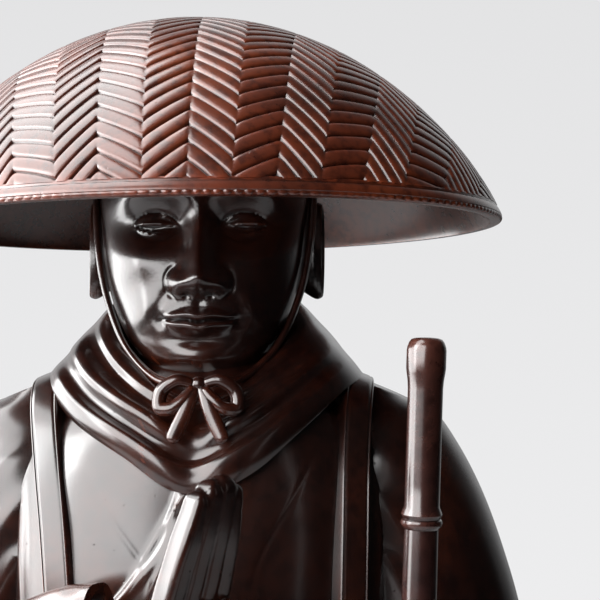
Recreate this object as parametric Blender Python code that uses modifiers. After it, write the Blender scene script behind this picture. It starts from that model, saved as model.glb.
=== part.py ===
"""Standing monk in travelling dress: woven rain hat, neck scarf tied with a cord, wide-sleeved robe,
one hand raised in greeting and a bamboo staff in the other, on a low round plinth.

The figure faces -Y with +X to the viewer's right. Its carving is written in small parts, 303 from soles to
chin for the body and 63 from chin to crown for the head, which FIGURE_HEIGHT and HEAD_HEIGHT turn into
metres. All other sizes are in metres.
"""

import math

import bmesh
import bpy
import numpy as np
from mathutils import Matrix, Vector

# Driving sizes, in metres
FIGURE_HEIGHT = 0.366
HEAD_HEIGHT = 0.063
GRIP_HEIGHT = 0.226
PLINTH_RADIUS = 0.076
PLINTH_HEIGHT = 0.016
PLINTH_CHAMFER = 0.0018
PLINTH_STEP = 0.005
PLINTH_STEP_HEIGHT = 0.0075
HAT_RADIUS = 0.0638
HAT_RISE = 0.0435
HAT_WALL = 0.0020
HAT_BAND_SWELL = 0.0005
HAT_OFFSET_X = -0.0018
HAT_TILT_BACK = 2.6
HAT_ROLL = -0.8
HAT_SEAT_SHARE = 0.671
HEADBAND_RADIUS = 0.0150
HEADBAND_WALL = 0.0018
WEAVE_COLUMN = 0.0097
WEAVE_PITCH = 0.0041
WEAVE_SHIFT = 0.0024
WEAVE_RELIEF = 0.0006
WEAVE_SLANT = 35.0
WEAVE_SKIN = 0.0010
BAND_SHARE = 0.984
STAFF_RADIUS = 0.0031
STAFF_KNOT_SWELL = 0.0006
STAFF_HEAD_LENGTH = 0.0075
STAFF_HEAD_SWELL = 0.0004
STAFF_FOOT = (0.0335, -0.0560)
STAFF_TOP = (0.0425, -0.0620, 0.3285)
REST_GAP = 0.0003
GRIP_CLEARANCE = 0.0003

# The parts that the carving is written in, and where the body's and the head's begin
SOLES = PLINTH_HEIGHT + REST_GAP
BODY_PART = (FIGURE_HEIGHT - HEAD_HEIGHT) / 303
HEAD_PART = HEAD_HEIGHT / 63
BODY = (BODY_PART, SOLES)
HEAD = (HEAD_PART, SOLES + FIGURE_HEIGHT - HEAD_HEIGHT)
EYE_LINE = 31.5


def curve_through(knots, at):
    """Smooth curve through (key, value) knots, read at the given keys."""
    keys, values = np.asarray(knots, float).T
    at = np.clip(np.asarray(at, float), keys[0], keys[-1])
    slopes = np.gradient(values, keys)
    i = np.clip(np.searchsorted(keys, at, side="right") - 1, 0, len(keys) - 2)
    span = keys[i + 1] - keys[i]
    t = (at - keys[i]) / span
    rise = values[i + 1] - values[i]
    first = slopes[i] * span
    last = slopes[i + 1] * span
    return values[i] + t * (first + t * ((3 * rise - 2 * first - last) + t * (first + last - 2 * rise)))


def path_through(points, at):
    """Smooth path through 3-D points, read at shares 0 to 1 of the point list."""
    points = np.array(points, float)
    keys = np.linspace(0, 1, len(points))
    lines = [curve_through(np.stack([keys, points[:, k]], 1), at) for k in range(points.shape[1])]
    return np.stack(lines, -1)


def bump(u, v, centre_u, centre_v, wide, tall):
    """Rounded hill of height 1 at a centre."""
    return np.exp(-(((u - centre_u) / wide) ** 2) - ((v - centre_v) / tall) ** 2)


def step_up(value, low, high):
    """0 below low, 1 above high, smooth between."""
    t = np.clip((value - low) / (high - low), 0, 1)
    return t * t * (3 - 2 * t)


def smooth_max(a, b, blend):
    return 0.5 * (a + b + np.sqrt((a - b) ** 2 + blend**2))


def signed_power(value, power):
    return np.sign(value) * np.abs(value) ** power


def oval(turn, half_width, front, back, fullness):
    """Plan outline of a body section. Turn 0 is the front and a quarter turn is +X."""
    angle = 2 * math.pi * turn
    across = half_width * signed_power(np.sin(angle), 2 / fullness)
    ahead = signed_power(np.cos(angle), 2 / fullness)
    return across, -np.where(ahead > 0, front * ahead, back * ahead)


def grid_body(name, points, place=BODY):
    """Closed body on a grid of points (rows, columns, 3), whose seams and poles coincide."""
    scale, lift = place
    rows, columns = points.shape[:2]
    shape = bmesh.new()
    bmesh.ops.create_grid(shape, x_segments=columns - 1, y_segments=rows - 1, size=0.5)
    for vert in shape.verts:
        column = round((vert.co.x + 0.5) * (columns - 1))
        row = round((vert.co.y + 0.5) * (rows - 1))
        x, y, z = points[row, column]
        vert.co = (x * scale, y * scale, z * scale + lift)
    bmesh.ops.remove_doubles(shape, verts=shape.verts, dist=2e-6)
    bmesh.ops.dissolve_degenerate(shape, edges=shape.edges, dist=1e-6)
    bmesh.ops.recalc_face_normals(shape, faces=shape.faces)
    if shape.calc_volume(signed=True) < 0:
        bmesh.ops.reverse_faces(shape, faces=shape.faces)
    mesh = bpy.data.meshes.new(name)
    shape.to_mesh(mesh)
    shape.free()
    return bpy.data.objects.new(name, mesh)


def with_poles(rings):
    """Rings closed at both ends by their own centres, and round to their first column."""
    rings = np.asarray(rings, float)
    ends = [np.repeat(rings[k].mean(0)[None], rings.shape[1], 0) for k in (0, -1)]
    rings = np.concatenate([ends[0][None], rings, ends[1][None]])
    return np.concatenate([rings, rings[:, :1]], 1)


def tube(name, points, radii, sides, stations, flat=1.0, face=(0, 1, 0)):
    """Round or flattened rod along a smooth path, with radii read along it."""
    at = np.linspace(0, 1, stations)
    line = path_through(points, at)
    radius = curve_through(np.stack([np.linspace(0, 1, len(radii)), radii], 1), at)
    along = np.gradient(line, axis=0)
    along /= np.linalg.norm(along, axis=1)[:, None]
    side = np.cross(along, np.array(face, float))
    side /= np.linalg.norm(side, axis=1)[:, None]
    out = np.cross(side, along)
    turn = np.arange(sides) / sides * 2 * math.pi
    rings = (
        line[:, None]
        + (radius[:, None] * np.cos(turn))[..., None] * side[:, None]
        + (flat * radius[:, None] * np.sin(turn))[..., None] * out[:, None]
    )
    return grid_body(name, with_poles(rings))


def ball(name, centre, sizes, segments=12, rings=8, turn_z=0.0):
    """Rounded lump: a sphere stretched to its half sizes."""
    shape = bmesh.new()
    bmesh.ops.create_uvsphere(shape, u_segments=segments, v_segments=rings, radius=1)
    scale, lift = BODY
    place = Matrix.Translation(Vector(centre) * scale + Vector((0, 0, lift)))
    turn = Matrix.Rotation(math.radians(turn_z), 4, "Z")
    stretch = Matrix.Diagonal((*(size * scale for size in sizes), 1))
    bmesh.ops.transform(shape, matrix=place @ turn @ stretch, verts=shape.verts)
    mesh = bpy.data.meshes.new(name)
    shape.to_mesh(mesh)
    shape.free()
    return bpy.data.objects.new(name, mesh)


# Head and face

HEAD_WIDTH = [(0, 4.0), (1.2, 8.0), (3, 11.2), (6, 14.4), (10, 17.1), (15, 19.3), (22, 21.1), (30, 22.1),
              (40, 22.5), (48, 21.4), (54, 18.2), (58.5, 13.4), (61.6, 7.6), (63, 0.0)]
HEAD_FRONT = [(0, 16.6), (1.2, 19.2), (3, 20.9), (6, 21.6), (9, 21.4), (12, 21.6), (18, 22.0), (24, 21.9),
              (31.5, 21.6), (36, 22.6), (41, 22.9), (47, 21.6), (53, 17.9), (58, 12.6), (61.6, 6.8), (63, 0.0)]
HEAD_BACK = [(0, -9.5), (1.2, -5.5), (3, -1.0), (6, 5.0), (10, 12.0), (15, 18.5), (22, 23.8), (30, 27.2),
             (40, 28.6), (48, 26.6), (54, 21.8), (58.5, 15.4), (61.6, 8.2), (63, 0.0)]
FACE_ROWS = [0.35, 2, 5, 8, 10.4, 12.0, 13.4, 15.6, 17.4, 19.0, 22, 26, 29.6, 31.0, 32.6, 35.6, 41, 50, 58, 62]
HEAD_SHIFT = -1.0
FACE_FULLNESS = 2.35


def face_relief(x, z):
    """How far the carved face stands forward of the bare head, at x and height above the chin."""
    s = np.abs(x)
    brow = 36.8 + 0.8 * np.exp(-(((s - 10) / 5) ** 2))
    relief = 0.9 * np.exp(-(((s - 9.0) / 6.6) ** 4)) * np.exp(-(((z - brow) / 1.6) ** 2))
    relief -= 2.9 * bump(s, z, 8.9, 31.4, 6.0, 4.6) + 1.2 * bump(s, z, 4.3, 31.2, 2.1, 3.4)
    relief += 1.2 * bump(s, z, 13.4, 24.2, 5.6, 4.6) + 0.8 * bump(s, z, 11.5, 13.0, 4.5, 5.0)
    relief -= 0.9 * bump(s, z, 18.5, 37.0, 3.2, 5.5) + 0.4 * bump(s, z, 15.5, 15.5, 3.2, 4.0)
    bridge = curve_through([(15.8, 0), (17.0, 1.5), (18.2, 4.2), (19.8, 5.8), (22.2, 5.4), (26, 4.0), (30, 2.6),
                            (33.5, 1.4), (38, 0.0)], z)
    half = curve_through([(16, 3.2), (20, 3.2), (24, 2.8), (30, 2.3), (34, 2.7), (38, 4.4)], z)
    relief += np.where((z > 15.8) & (z < 38), bridge, 0) * np.exp(-((s / half) ** 2.1))
    relief += 2.3 * bump(s, z, 4.1, 19.2, 2.0, 2.0) - 0.9 * bump(s, z, 2.4, 16.9, 1.1, 0.7)
    wing = np.hypot(s - 4.0, (z - 19.4) * 0.9) - 2.8
    relief -= 0.4 * np.exp(-((wing / 0.6) ** 2)) * step_up(s, 4.2, 5.8)
    relief -= 0.35 * bump(s, z, 0.0, 14.8, 0.9, 1.3)
    corner = np.clip(1 - (s / 7.6) ** 2, 0, 1)
    line = 11.7 - 0.28 * np.exp(-((s / 1.4) ** 2)) + 0.18 * np.exp(-(((s - 3.0) / 1.8) ** 2))
    line += 0.35 * (s / 7.6) ** 4
    relief += 1.1 * bump(s, z, 0.0, 12.2, 8.5, 5.0)
    relief += 1.0 * corner * np.exp(-(((z - line - 0.45 - 0.7 * corner) / (0.45 + 0.55 * corner)) ** 2))
    relief += 1.4 * corner**1.3 * np.exp(-(((z - line + 0.5 + 0.8 * corner) / (0.5 + 0.7 * corner)) ** 2))
    relief -= (0.25 + 0.6 * corner) * step_up(8.2 - s, 0, 2.2) * np.exp(-(((z - line) / 0.38) ** 2))
    relief -= 0.7 * bump(s, z, 8.0, 11.6, 1.4, 1.6) + 0.9 * bump(s, z, 0.0, 7.7, 5.0, 1.4)
    relief += 1.0 * bump(s, z, 0.0, 4.2, 5.2, 2.6)
    crease = (s - 5.6) * 0.86 + (z - 19.0) * 0.50
    along = step_up(z, 9.0, 14.0) * (1 - step_up(z, 16.5, 20.5))
    relief -= 0.35 * along * np.exp(-((crease / 1.1) ** 2))
    return relief


def with_eyes(x, z, forward):
    """Sets the eyeball and its lids into the socket at the given forward distance."""
    s = np.abs(x) - 8.8
    u = np.clip(s / 4.5, -1, 1)
    open_top = EYE_LINE - 0.5 + 0.25 * u + 1.25 * (1 - u**2) ** 0.8
    open_low = EYE_LINE - 0.5 + 0.25 * u - 0.95 * (1 - u**2)
    inside = step_up(z, open_low - 0.12, open_low + 0.12) * (1 - step_up(z, open_top - 0.12, open_top + 0.12))
    reach = 5.9 - 0.6 * inside
    cap = reach**2 - s**2 - (z - EYE_LINE + 0.3) ** 2
    eyeball = 12.3 + np.sqrt(np.maximum(cap, 0))
    return np.where(cap > 0, smooth_max(forward, eyeball, 0.7), forward)


def head_points(columns, rows):
    """Grid over the head from under the chin to the crown, in parts of the head."""
    turn = np.linspace(0, 1, columns + 1)
    turn = turn - 0.72 * np.sin(2 * math.pi * turn) / (2 * math.pi)
    z = np.asarray(rows, float)[:, None]
    angle = 2 * math.pi * turn[None]
    width = curve_through(HEAD_WIDTH, z)
    front = curve_through(HEAD_FRONT, z)
    back = curve_through(HEAD_BACK, z)
    middle, half = (front - back) / 2, (front + back) / 2
    x = width * signed_power(np.sin(angle), 2 / FACE_FULLNESS)
    forward = middle + half * signed_power(np.cos(angle), 2 / FACE_FULLNESS)
    facing = step_up(np.cos(angle), 0.05, 0.35)
    forward = forward + face_relief(x, z) * facing
    forward = np.where(facing > 0.5, with_eyes(x, z, forward), forward)
    height = np.broadcast_to(z, x.shape)
    return np.stack([x, HEAD_SHIFT - forward, height], -1)


def make_head():
    grid = head_points(22, FACE_ROWS)
    return grid_body("head_form", with_poles(grid[:, :-1]), HEAD)


def make_ear(side):
    """Flat shell with a raised rim and a long lobe."""
    turn = np.linspace(0, 1, 9)[:-1] * 2 * math.pi
    share = np.array([0.5, 0.92, 1.0, 0.8])
    lateral = np.array([1.3, 2.6, 1.2, -2.5])
    rings = []
    for reach, out in zip(share, lateral):
        back = 4.6 * reach * np.cos(turn) * (1 + 0.16 * np.sin(turn))
        up = 10.5 * reach * np.sin(turn)
        rings.append(np.stack([side * (22.6 + out + 0.10 * back), HEAD_SHIFT + 3.4 + back + 0.12 * up,
                               26.5 + up], -1))
    return grid_body(f"ear_form_{side}", with_poles(rings), HEAD)


# Dress

ROBE_WIDTH = [(27, 46), (60, 45), (110, 44), (150, 43), (185, 41), (205, 39.5), (230, 40), (255, 41.5),
              (272, 41.5), (286, 39), (294, 34), (299.5, 26), (303, 19), (308, 14)]
ROBE_FRONT = [(27, 33), (60, 33), (110, 33.5), (150, 33.5), (185, 32.5), (205, 32), (230, 33.5), (255, 34.5),
              (272, 33), (286, 30.4), (294, 28), (299.5, 25.5), (303, 22), (308, 16)]
ROBE_BACK = [(27, 31), (60, 30), (110, 29), (150, 29), (185, 29), (205, 28), (230, 29), (255, 30),
             (272, 30), (286, 28), (294, 25), (299.5, 21), (303, 18), (308, 15)]
ROBE_ROWS = [27, 50, 95, 145, 198, 201, 212, 215, 240, 264, 283, 299, 308]
PLEATS = 8


def robe_folds(turn, z):
    """Outward swing of the cloth: pleats that deepen towards the hem, a sash and the closing edge."""
    angle = 2 * math.pi * turn
    skirt = 1 - step_up(z, 120, 205)
    swing = np.cos(PLEATS * angle + 1.1 * np.sin(2 * angle) + 0.006 * z) + 0.35 * np.cos(7 * angle + 0.02 * z)
    folds = (0.5 + 1.9 * skirt) * skirt * swing
    sash = step_up(z, 199, 201) * (1 - step_up(z, 212, 214))
    return folds + 1.3 * sash


def closing_edge(z):
    """x of the robe's overlapping front edge at a height: from the scarf down to the hem."""
    knots = [(27, -17), (200, -15.5), (230, -15), (262, -11.5), (272, -7.2), (282, -3.4), (308, 3)]
    return curve_through(knots, z)


def robe_points(columns, rows):
    turn = np.linspace(0, 1, columns + 1)[None]
    z = np.asarray(rows, float)[:, None]
    front, back = curve_through(ROBE_FRONT, z), curve_through(ROBE_BACK, z)
    x, y = oval(turn, curve_through(ROBE_WIDTH, z), front, back, 2.5)
    length = np.hypot(x, y)
    ahead = step_up(-y, 8, 16)
    past = x - closing_edge(z)
    lap = 0.9 * step_up(past, -0.4, 0.4) * (1 - step_up(past, 2, 16)) * ahead
    grow = 1 + (robe_folds(turn, z) + lap) / length
    hem = np.where(z < 40, 1.2 * np.sin(2 * math.pi * turn * 9) * (40 - z) / 13, 0)
    return np.stack([x * grow, y * grow, np.broadcast_to(z, x.shape) + hem], -1)


def make_robe():
    return grid_body("robe_form", with_poles(robe_points(32, ROBE_ROWS)[:, :-1]))


SCARF_TOP_Z = [(-180, 321), (-120, 320), (-90, 317.5), (-62, 312), (-40, 306), (-24, 302), (-12, 300),
               (0, 299), (12, 300), (26, 302.5), (40, 306), (62, 312), (90, 317.5), (120, 320), (180, 321)]
SCARF_LOW_Z = [(-180, 291), (-130, 296), (-90, 301.5), (-65, 299), (-45, 293.5), (-25, 288), (-6, 281.5),
               (8, 282), (20, 285.5), (36, 292.5), (60, 300.5), (90, 302.5), (130, 297), (180, 291)]
SCARF_ROLLS = [(0.0, 0.0), (0.07, 0.5), (0.15, 0.3), (0.27, -1.1), (0.42, 1.1), (0.53, 1.0), (0.645, -0.8),
               (0.79, 1.1), (0.90, 1.2), (1.0, 0.0)]
SCARF_STOPS = [0, 0.12, 0.216, 0.36, 0.516, 0.68, 0.8, 0.9, 1.0]


def scarf_points(columns):
    """Thick cloth wound round the neck: three rolls, flatter at the sides, with its inner face buried."""
    degrees = np.linspace(-180, 180, columns + 1)[:, None]
    angle = np.radians(degrees)
    top_z = curve_through(SCARF_TOP_Z, degrees)
    low_z = curve_through(SCARF_LOW_Z, degrees)
    front = np.cos(angle) > 0
    top_x, top_y = 20.0 * np.sin(angle), -np.where(front, 25.5, 23.0) * np.cos(angle)
    low_x, low_y = 34.0 * np.sin(angle), -np.where(front, 34.0, 33.0) * np.cos(angle)
    share = np.array(SCARF_STOPS)[None]
    face = np.clip(share / 0.8, 0, 1)
    under = np.clip((share - 0.8) / 0.2, 0, 1)
    flat = 0.10 + 0.90 * step_up(np.cos(angle + 0.12), 0.05, 0.85)
    swell = (0.7 + 2.8 * step_up(np.abs(np.cos(angle)), 0.0, 0.8)) * np.sin(math.pi * face) ** 0.8
    grow = swell + curve_through(SCARF_ROLLS, face) * flat
    out_x, out_y = np.sin(angle), -np.cos(angle)
    tuck = np.sin(math.pi * under)
    x = top_x + (low_x - top_x) * (face - under) + out_x * (0.72 * grow - 6.0 * tuck)
    y = top_y + (low_y - top_y) * (face - under) + out_y * (0.72 * grow - 6.0 * tuck)
    z = top_z + (low_z - top_z) * (face - under) + 0.62 * grow - 5.0 * tuck
    return np.stack([x, y, z], -1)


def make_scarf():
    return grid_body("scarf_form", scarf_points(26))


STRAP_PATHS = {
    -1: [(27, 24, 207), (28.5, 26.5, 240), (30, 25, 268), (31.4, 19, 288), (32.4, 8, 300.0), (32.6, -6, 301.4),
         (31.8, -16, 297.0), (30.0, -23, 286), (28.0, -27.8, 272), (26.6, -29.8, 255), (25.8, -30.2, 235),
         (25.2, -29.6, 207)],
    1: [(27, 24, 207), (28.5, 26.5, 240), (30, 25, 268), (31.2, 19, 288), (32.4, 8, 300.0), (32.6, -6, 301.4),
        (31.8, -16, 297.0), (31, -23, 286), (30.6, -27.6, 272), (30.2, -29.6, 255), (29.8, -30, 235),
        (29, -29.4, 207)],
}
STRAP_LEAN = 20


def strap_points(side, stations, half_width=3.1, depth=7.5, skirt=2.0):
    """Flat shoulder strap with sloping sides, from the back of the sash over the shoulder to its front."""
    at = np.linspace(0, 1, stations)
    line = path_through(STRAP_PATHS[side], at) * np.array([side, 1, 1])
    along = np.gradient(line, axis=0)
    along /= np.linalg.norm(along, axis=1)[:, None]
    sideways = np.array([1.0, 0, 0])
    out = np.cross(along, sideways)
    out /= np.linalg.norm(out, axis=1)[:, None]
    out = np.where((out[:, 1:2] * line[:, 1:2] + out[:, 2:3] * (line[:, 2:3] - 250)) > 0, out, -out)
    section = [(-half_width, 1.0), (-half_width + 0.5, 1.5), (half_width - 0.5, 1.5), (half_width, 1.0),
               (half_width + skirt, 1.0 - depth), (-half_width - skirt, 1.0 - depth)]
    lean = math.radians(STRAP_LEAN) * side
    across = math.cos(lean) * sideways - math.sin(lean) * out
    upward = math.cos(lean) * out + math.sin(lean) * sideways
    return np.stack([line + a * across + o * upward for a, o in section], 1)


def make_strap(side):
    return grid_body(f"strap_form_{side}", with_poles(strap_points(side, 11)))


# Arms

UPPER_ARM = [  # outer edge, inner edge and half depth of each section, from the shoulder down
    (43, 297.9, 26, 304.6, 9), (49, 295.2, 17, 290, 16.5), (54.5, 287.6, 15, 276, 21),
    (59.6, 277.6, 18, 262, 22), (64, 265.6, 24, 248, 21.5), (67.8, 252, 28, 236, 20),
    (69.6, 238, 33, 222, 18), (68, 224, 38, 212, 14),
    (60, 215, 46, 208, 7),
]
ARM_CENTRE_Y = 2.0


def upper_arm_points(side, stations, columns):
    """Shoulder and upper arm inside the loose sleeve, as leaning oval sections."""
    form = path_through(UPPER_ARM, np.linspace(0, 1, stations))
    turn = np.arange(columns) / columns * 2 * math.pi
    rings = []
    for outer_x, outer_z, inner_x, inner_z, deep in form:
        reach = (1 + np.cos(turn)) / 2
        x = inner_x + (outer_x - inner_x) * reach
        z = inner_z + (outer_z - inner_z) * reach
        rings.append(np.stack([side * x, ARM_CENTRE_Y + deep * np.sin(turn), z], -1))
    return np.array(rings)


def make_upper_arm(side):
    return grid_body(f"upper_arm_form_{side}", with_poles(upper_arm_points(side, 7, 10)))


SLEEVES = {
    -1: dict(plan=[(-51, 17), (-54, 8), (-50, -8), (-39, -24), (-27, -37), (-17.5, -44.5)],
             top=[(0, 236), (0.25, 248), (0.6, 257), (0.85, 264.5), (1, 266)],
             low=[(0, 186), (0.25, 160), (0.6, 146), (0.85, 148), (1, 153)],
             half=[(0, 6), (0.2, 11.5), (0.6, 11), (0.9, 8.4), (1, 7.2)]),
    1: dict(plan=[(51, 17), (55, 7), (55, -8), (51.5, -22), (47.5, -33), (44.5, -42)],
            top=[(0, 236), (0.25, 248), (0.6, 243), (0.85, 238), (1, 236)],
            low=[(0, 186), (0.25, 158), (0.6, 142), (0.85, 141), (1, 146)],
            half=[(0, 6), (0.2, 11.5), (0.6, 11), (0.9, 8.6), (1, 7.4)]),
}


def sleeve_points(side, stations, columns, trim=0.0, shrink=0.0):
    """Hanging sleeve: upright sections along the forearm, full at the top and folded below."""
    form = SLEEVES[side]
    at = np.linspace(trim, 1, stations)
    plan = path_through([(x, y, 0) for x, y in form["plan"]], at)
    ahead = np.gradient(plan, axis=0)
    ahead /= np.linalg.norm(ahead, axis=1)[:, None]
    lateral = np.stack([ahead[:, 1], -ahead[:, 0], 0 * ahead[:, 0]], -1)
    top = curve_through(form["top"], at) - shrink
    low = curve_through(form["low"], at) + shrink
    half = curve_through(form["half"], at) - shrink
    turn = np.arange(columns) / columns * 2 * math.pi
    rise = signed_power(np.cos(turn), 0.72)
    swell = signed_power(np.sin(turn), 0.72)
    below = (1 - rise) / 2
    rings = []
    for k, share in enumerate(at):
        fold = 1.7 * below * np.sin(2 * math.pi * (2.6 * share + 0.55 * below)) * (1 if shrink == 0 else 0.5)
        z = (top[k] + low[k]) / 2 + (top[k] - low[k]) / 2 * rise
        reach = half[k] * (1 - 0.30 * below) * swell + fold
        rings.append(plan[k] + reach[:, None] * lateral[k] + np.array([0, 0, 1]) * z[:, None])
    return np.array(rings)


def make_sleeve(side):
    return grid_body(f"sleeve_form_{side}", with_poles(sleeve_points(side, 8, 12)))


def make_sleeve_mouth(side):
    """What is cut from the sleeve's end, so that it reads as an open cuff."""
    points = sleeve_points(side, 3, 8, trim=0.9, shrink=1.9)
    points[-1] += 3.0 * (points[-1] - points[-2]).mean(0) / np.linalg.norm((points[-1] - points[-2]).mean(0))
    return grid_body(f"sleeve_mouth_{side}", with_poles(points))


FINGERS = [  # start and tip along the hand, offset across it, thickness
    (21, 43.6, -6.4, 2.3), (22, 45.6, -2.2, 2.45), (22, 46.4, 2.1, 2.5), (21, 45.0, 6.2, 2.4),
]
RAISED_WRIST = np.array([-4.6, -51.9, 243.4])
RAISED_UP = np.array([0.225, -0.12, 0.965])
RAISED_ACROSS = np.array([0.60, 0.79, -0.12])


def hand_frame():
    """Directions of the raised hand: across it from the little finger, out of its palm, and along it."""
    up = RAISED_UP / np.linalg.norm(RAISED_UP)
    palm = np.cross(up, RAISED_ACROSS)
    palm /= np.linalg.norm(palm)
    return np.cross(palm, up), -palm, up


def make_raised_hand():
    """Open hand held upright before the chest, fingers together, palm turned inwards."""
    across, palm, up = hand_frame()

    def place(a, p, u):
        return RAISED_WRIST + a * across + p * palm + u * up

    forms = [
        tube("wrist_form", [place(-3.0, 0, -16) + np.array([-14, 4, -3]), place(-1, 0, -7), place(0, 0, 1),
                            place(0, 0, 6)], [6.5, 6.0, 5.6, 4.0], 8, 3, flat=0.8, face=palm),
        tube("palm_form", [place(0, 0, -3), place(0, 0.2, 6), place(0, 0.3, 14), place(0, 0.2, 22),
                           place(0, 0, 26)], [5.8, 9.0, 10.4, 9.6, 6.8], 10, 5, flat=0.36, face=palm),
        tube("thumb_form", [place(5.4, 2.0, 3), place(7.8, 3.6, 9), place(7.8, 4.2, 16), place(6.6, 3.9, 23)],
             [3.0, 2.9, 2.6, 1.7], 6, 4, face=palm),
    ]
    for number, (base, tip, offset, thick) in enumerate(FINGERS):
        stops = [place(offset, 0.1, base - 3), place(offset * 0.92, 0.3, base + 8),
                 place(offset * 0.68, 0.2, tip - 5), place(offset * 0.54, -0.2, tip - 0.6)]
        radii = [thick, thick * 1.02, thick * 0.95, thick * 0.6]
        forms.append(tube(f"finger_form_{number}", stops, radii, 6, 4, face=palm))
    return forms


def staff_ends():
    """Foot and top of the staff, in metres."""
    return Vector((*STAFF_FOOT, SOLES)), Vector(STAFF_TOP)


def staff_frame():
    """The staff's direction and its place at the height of the fist, in parts of the body."""
    foot, top = staff_ends()
    direction = (top - foot).normalized()
    at = foot + direction * (GRIP_HEIGHT + SOLES - foot.z) / direction.z
    return np.array(direction), np.array([at.x, at.y, at.z - SOLES]) / BODY_PART


def make_fist():
    """Hand closed round the staff: back of the hand, four wrapped fingers and a thumb."""
    up, centre = staff_frame()
    wrist = np.array([46.0, -38.0, 226.0])
    back = wrist - centre
    back -= up * np.dot(back, up)
    back /= np.linalg.norm(back)
    side = np.cross(up, back)

    def place(b, s, u):
        return centre + b * back + s * side + u * up

    wrap = STAFF_RADIUS / BODY_PART + 1.6
    forms = [
        tube("left_wrist_form", [wrist + np.array([1.5, 12, 0.5]), wrist, place(8.5, 0.5, 0)],
             [5.6, 5.0, 4.4], 8, 3, face=(0, 0, 1)),
        tube("fist_form", [place(5.2, 0.4, -8), place(5.8, 0.4, -4), place(6, 0.3, 2), place(5.4, 0.2, 8)],
             [3.4, 4.7, 4.7, 3.2], 8, 4, flat=0.9),
    ]
    for number in range(4):
        height = -6.2 + 4.1 * number
        turn = np.radians(np.linspace(-38, 245, 9))
        stops = [place(wrap * math.cos(t) * 1.12, wrap * math.sin(t), height) for t in turn]
        forms.append(tube(f"curled_form_{number}", stops, [2.0, 2.1, 2.05, 1.7], 5, 6, face=up))
    turn = np.radians(np.linspace(20, -150, 6))
    stops = [place(wrap * math.cos(t) * 1.1, wrap * math.sin(t), 9.6 + 0.6 * k) for k, t in enumerate(turn)]
    forms.append(tube("left_thumb_form", stops, [2.3, 2.2, 2.0, 1.4], 6, 6, face=up))
    return forms


# Chin cord and its bow

KNOT = np.array([0.4, -31.0, 302.6])
CORD_SIDE = [(22.9, 1.0, 352), (23.0, -4.0, 341), (22.2, -7.6, 330), (20.0, -11.2, 319.5),
             (15.5, -16.6, 309.5), (8.8, -23.4, 303.3), (2.0, -30.2, 302.6)]
BOW_LOOP = [(0.9, -31.2, 302.4), (4.2, -31.8, 303.2), (7.2, -31.4, 301.0), (7.5, -32.0, 297.9),
            (5.1, -32.8, 297.8), (2.7, -32.6, 299.6), (0.9, -31.6, 301.8)]
BOW_TAIL = [(0.4, -31.6, 302.2), (1.7, -33.0, 299.0), (3.3, -33.8, 295.2), (5.2, -34.8, 291.2)]


def beside_head(points):
    """Moves the points above the chin with the head's own size."""
    points = np.array(points, float)
    share = HEAD_PART / BODY_PART
    above = points[:, 2] > 306
    points[above] = points[above] * share + np.array([0, 0, 303 * (1 - share)])
    return points


def make_cord():
    forms = []
    for side in (-1, 1):
        mirror = np.array([side, 1, 1])
        shift = np.array([KNOT[0], 0, 0])
        forms.append(tube(f"cord_form_{side}", beside_head(CORD_SIDE) * mirror, [1.0, 1.0, 1.0], 4, 7))
        forms.append(tube(f"loop_form_{side}", np.array(BOW_LOOP) * mirror + shift, [1.0, 1.2, 1.0], 4, 8))
        forms.append(tube(f"tail_form_{side}", np.array(BOW_TAIL) * mirror + shift, [0.9, 1.2, 1.4, 1.3],
                          4, 4, flat=0.6))
    forms.append(ball("knot_form", KNOT + np.array([0, -0.2, -0.2]), (1.6, 1.4, 1.5), 8, 5))
    return forms


# Legs and feet

def make_leg(side):
    """Bound shin, running up inside the robe."""
    return tube(f"shin_form_{side}", [(side * 16.5, 3, 5), (side * 16.5, 3, 14), (side * 17, 2, 26),
                                      (side * 17.5, 1, 44)], [7.2, 7.0, 9.0, 10.5], 8, 3, face=(1, 0, 0))


def make_foot(side):
    """Foot on a flat straw sandal."""
    outline = [(-38, 5.0), (-35, 7.8), (-26, 9.4), (-12, 8.2), (4, 7.4), (11, 6.4), (14.5, 3.2)]
    top = [(-38, 4.2), (-30, 6.6), (-16, 10.5), (-4, 15.5), (6, 16), (14.5, 9)]
    turn = np.arange(8) / 8 * 2 * math.pi
    rings = []
    for y, half in outline:
        height = curve_through(top, y)
        rings.append(np.stack([side * (17.5 - 0.10 * y) + half * np.sin(turn), np.full(8, float(y)),
                               np.maximum(3.0 + (height - 3.0) * np.cos(turn), 2.0)], -1))
    foot = grid_body(f"foot_form_{side}", with_poles(rings))
    sole = []
    for z, grow in ((0.0, 1.6), (3.2, 1.4)):
        plan = [(side * (17.5 - 0.10 * y) + s * (half + grow), y - (grow if k == 0 else 0), z)
                for s, ends in ((1, outline), (-1, outline[::-1])) for k, (y, half) in enumerate(ends)]
        sole.append(plan)
    return [foot, grid_body(f"sole_form_{side}", with_poles(sole))]


def material(name, colour, roughness, metallic):
    made = bpy.data.materials.new(name)
    made.use_nodes = True
    shader = made.node_tree.nodes["Principled BSDF"]
    shader.inputs["Base Color"].default_value = (*colour, 1)
    shader.inputs["Roughness"].default_value = roughness
    shader.inputs["Metallic"].default_value = metallic
    return made


def add_boolean(target, operation, collection):
    modifier = target.modifiers.new(operation.title(), "BOOLEAN")
    modifier.operation = operation
    modifier.operand_type = "COLLECTION"
    modifier.collection = collection
    modifier.solver = "EXACT"
    return modifier


def helper_collection(name, objects):
    """Collection of forms that are joined to or cut from a part and aren't parts themselves."""
    collection = bpy.data.collections.new(name)
    bpy.context.scene.collection.children.link(collection)
    for obj in objects:
        collection.objects.link(obj)
        obj.hide_render = True
        obj.display_type = "WIRE"
    return collection


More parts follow.
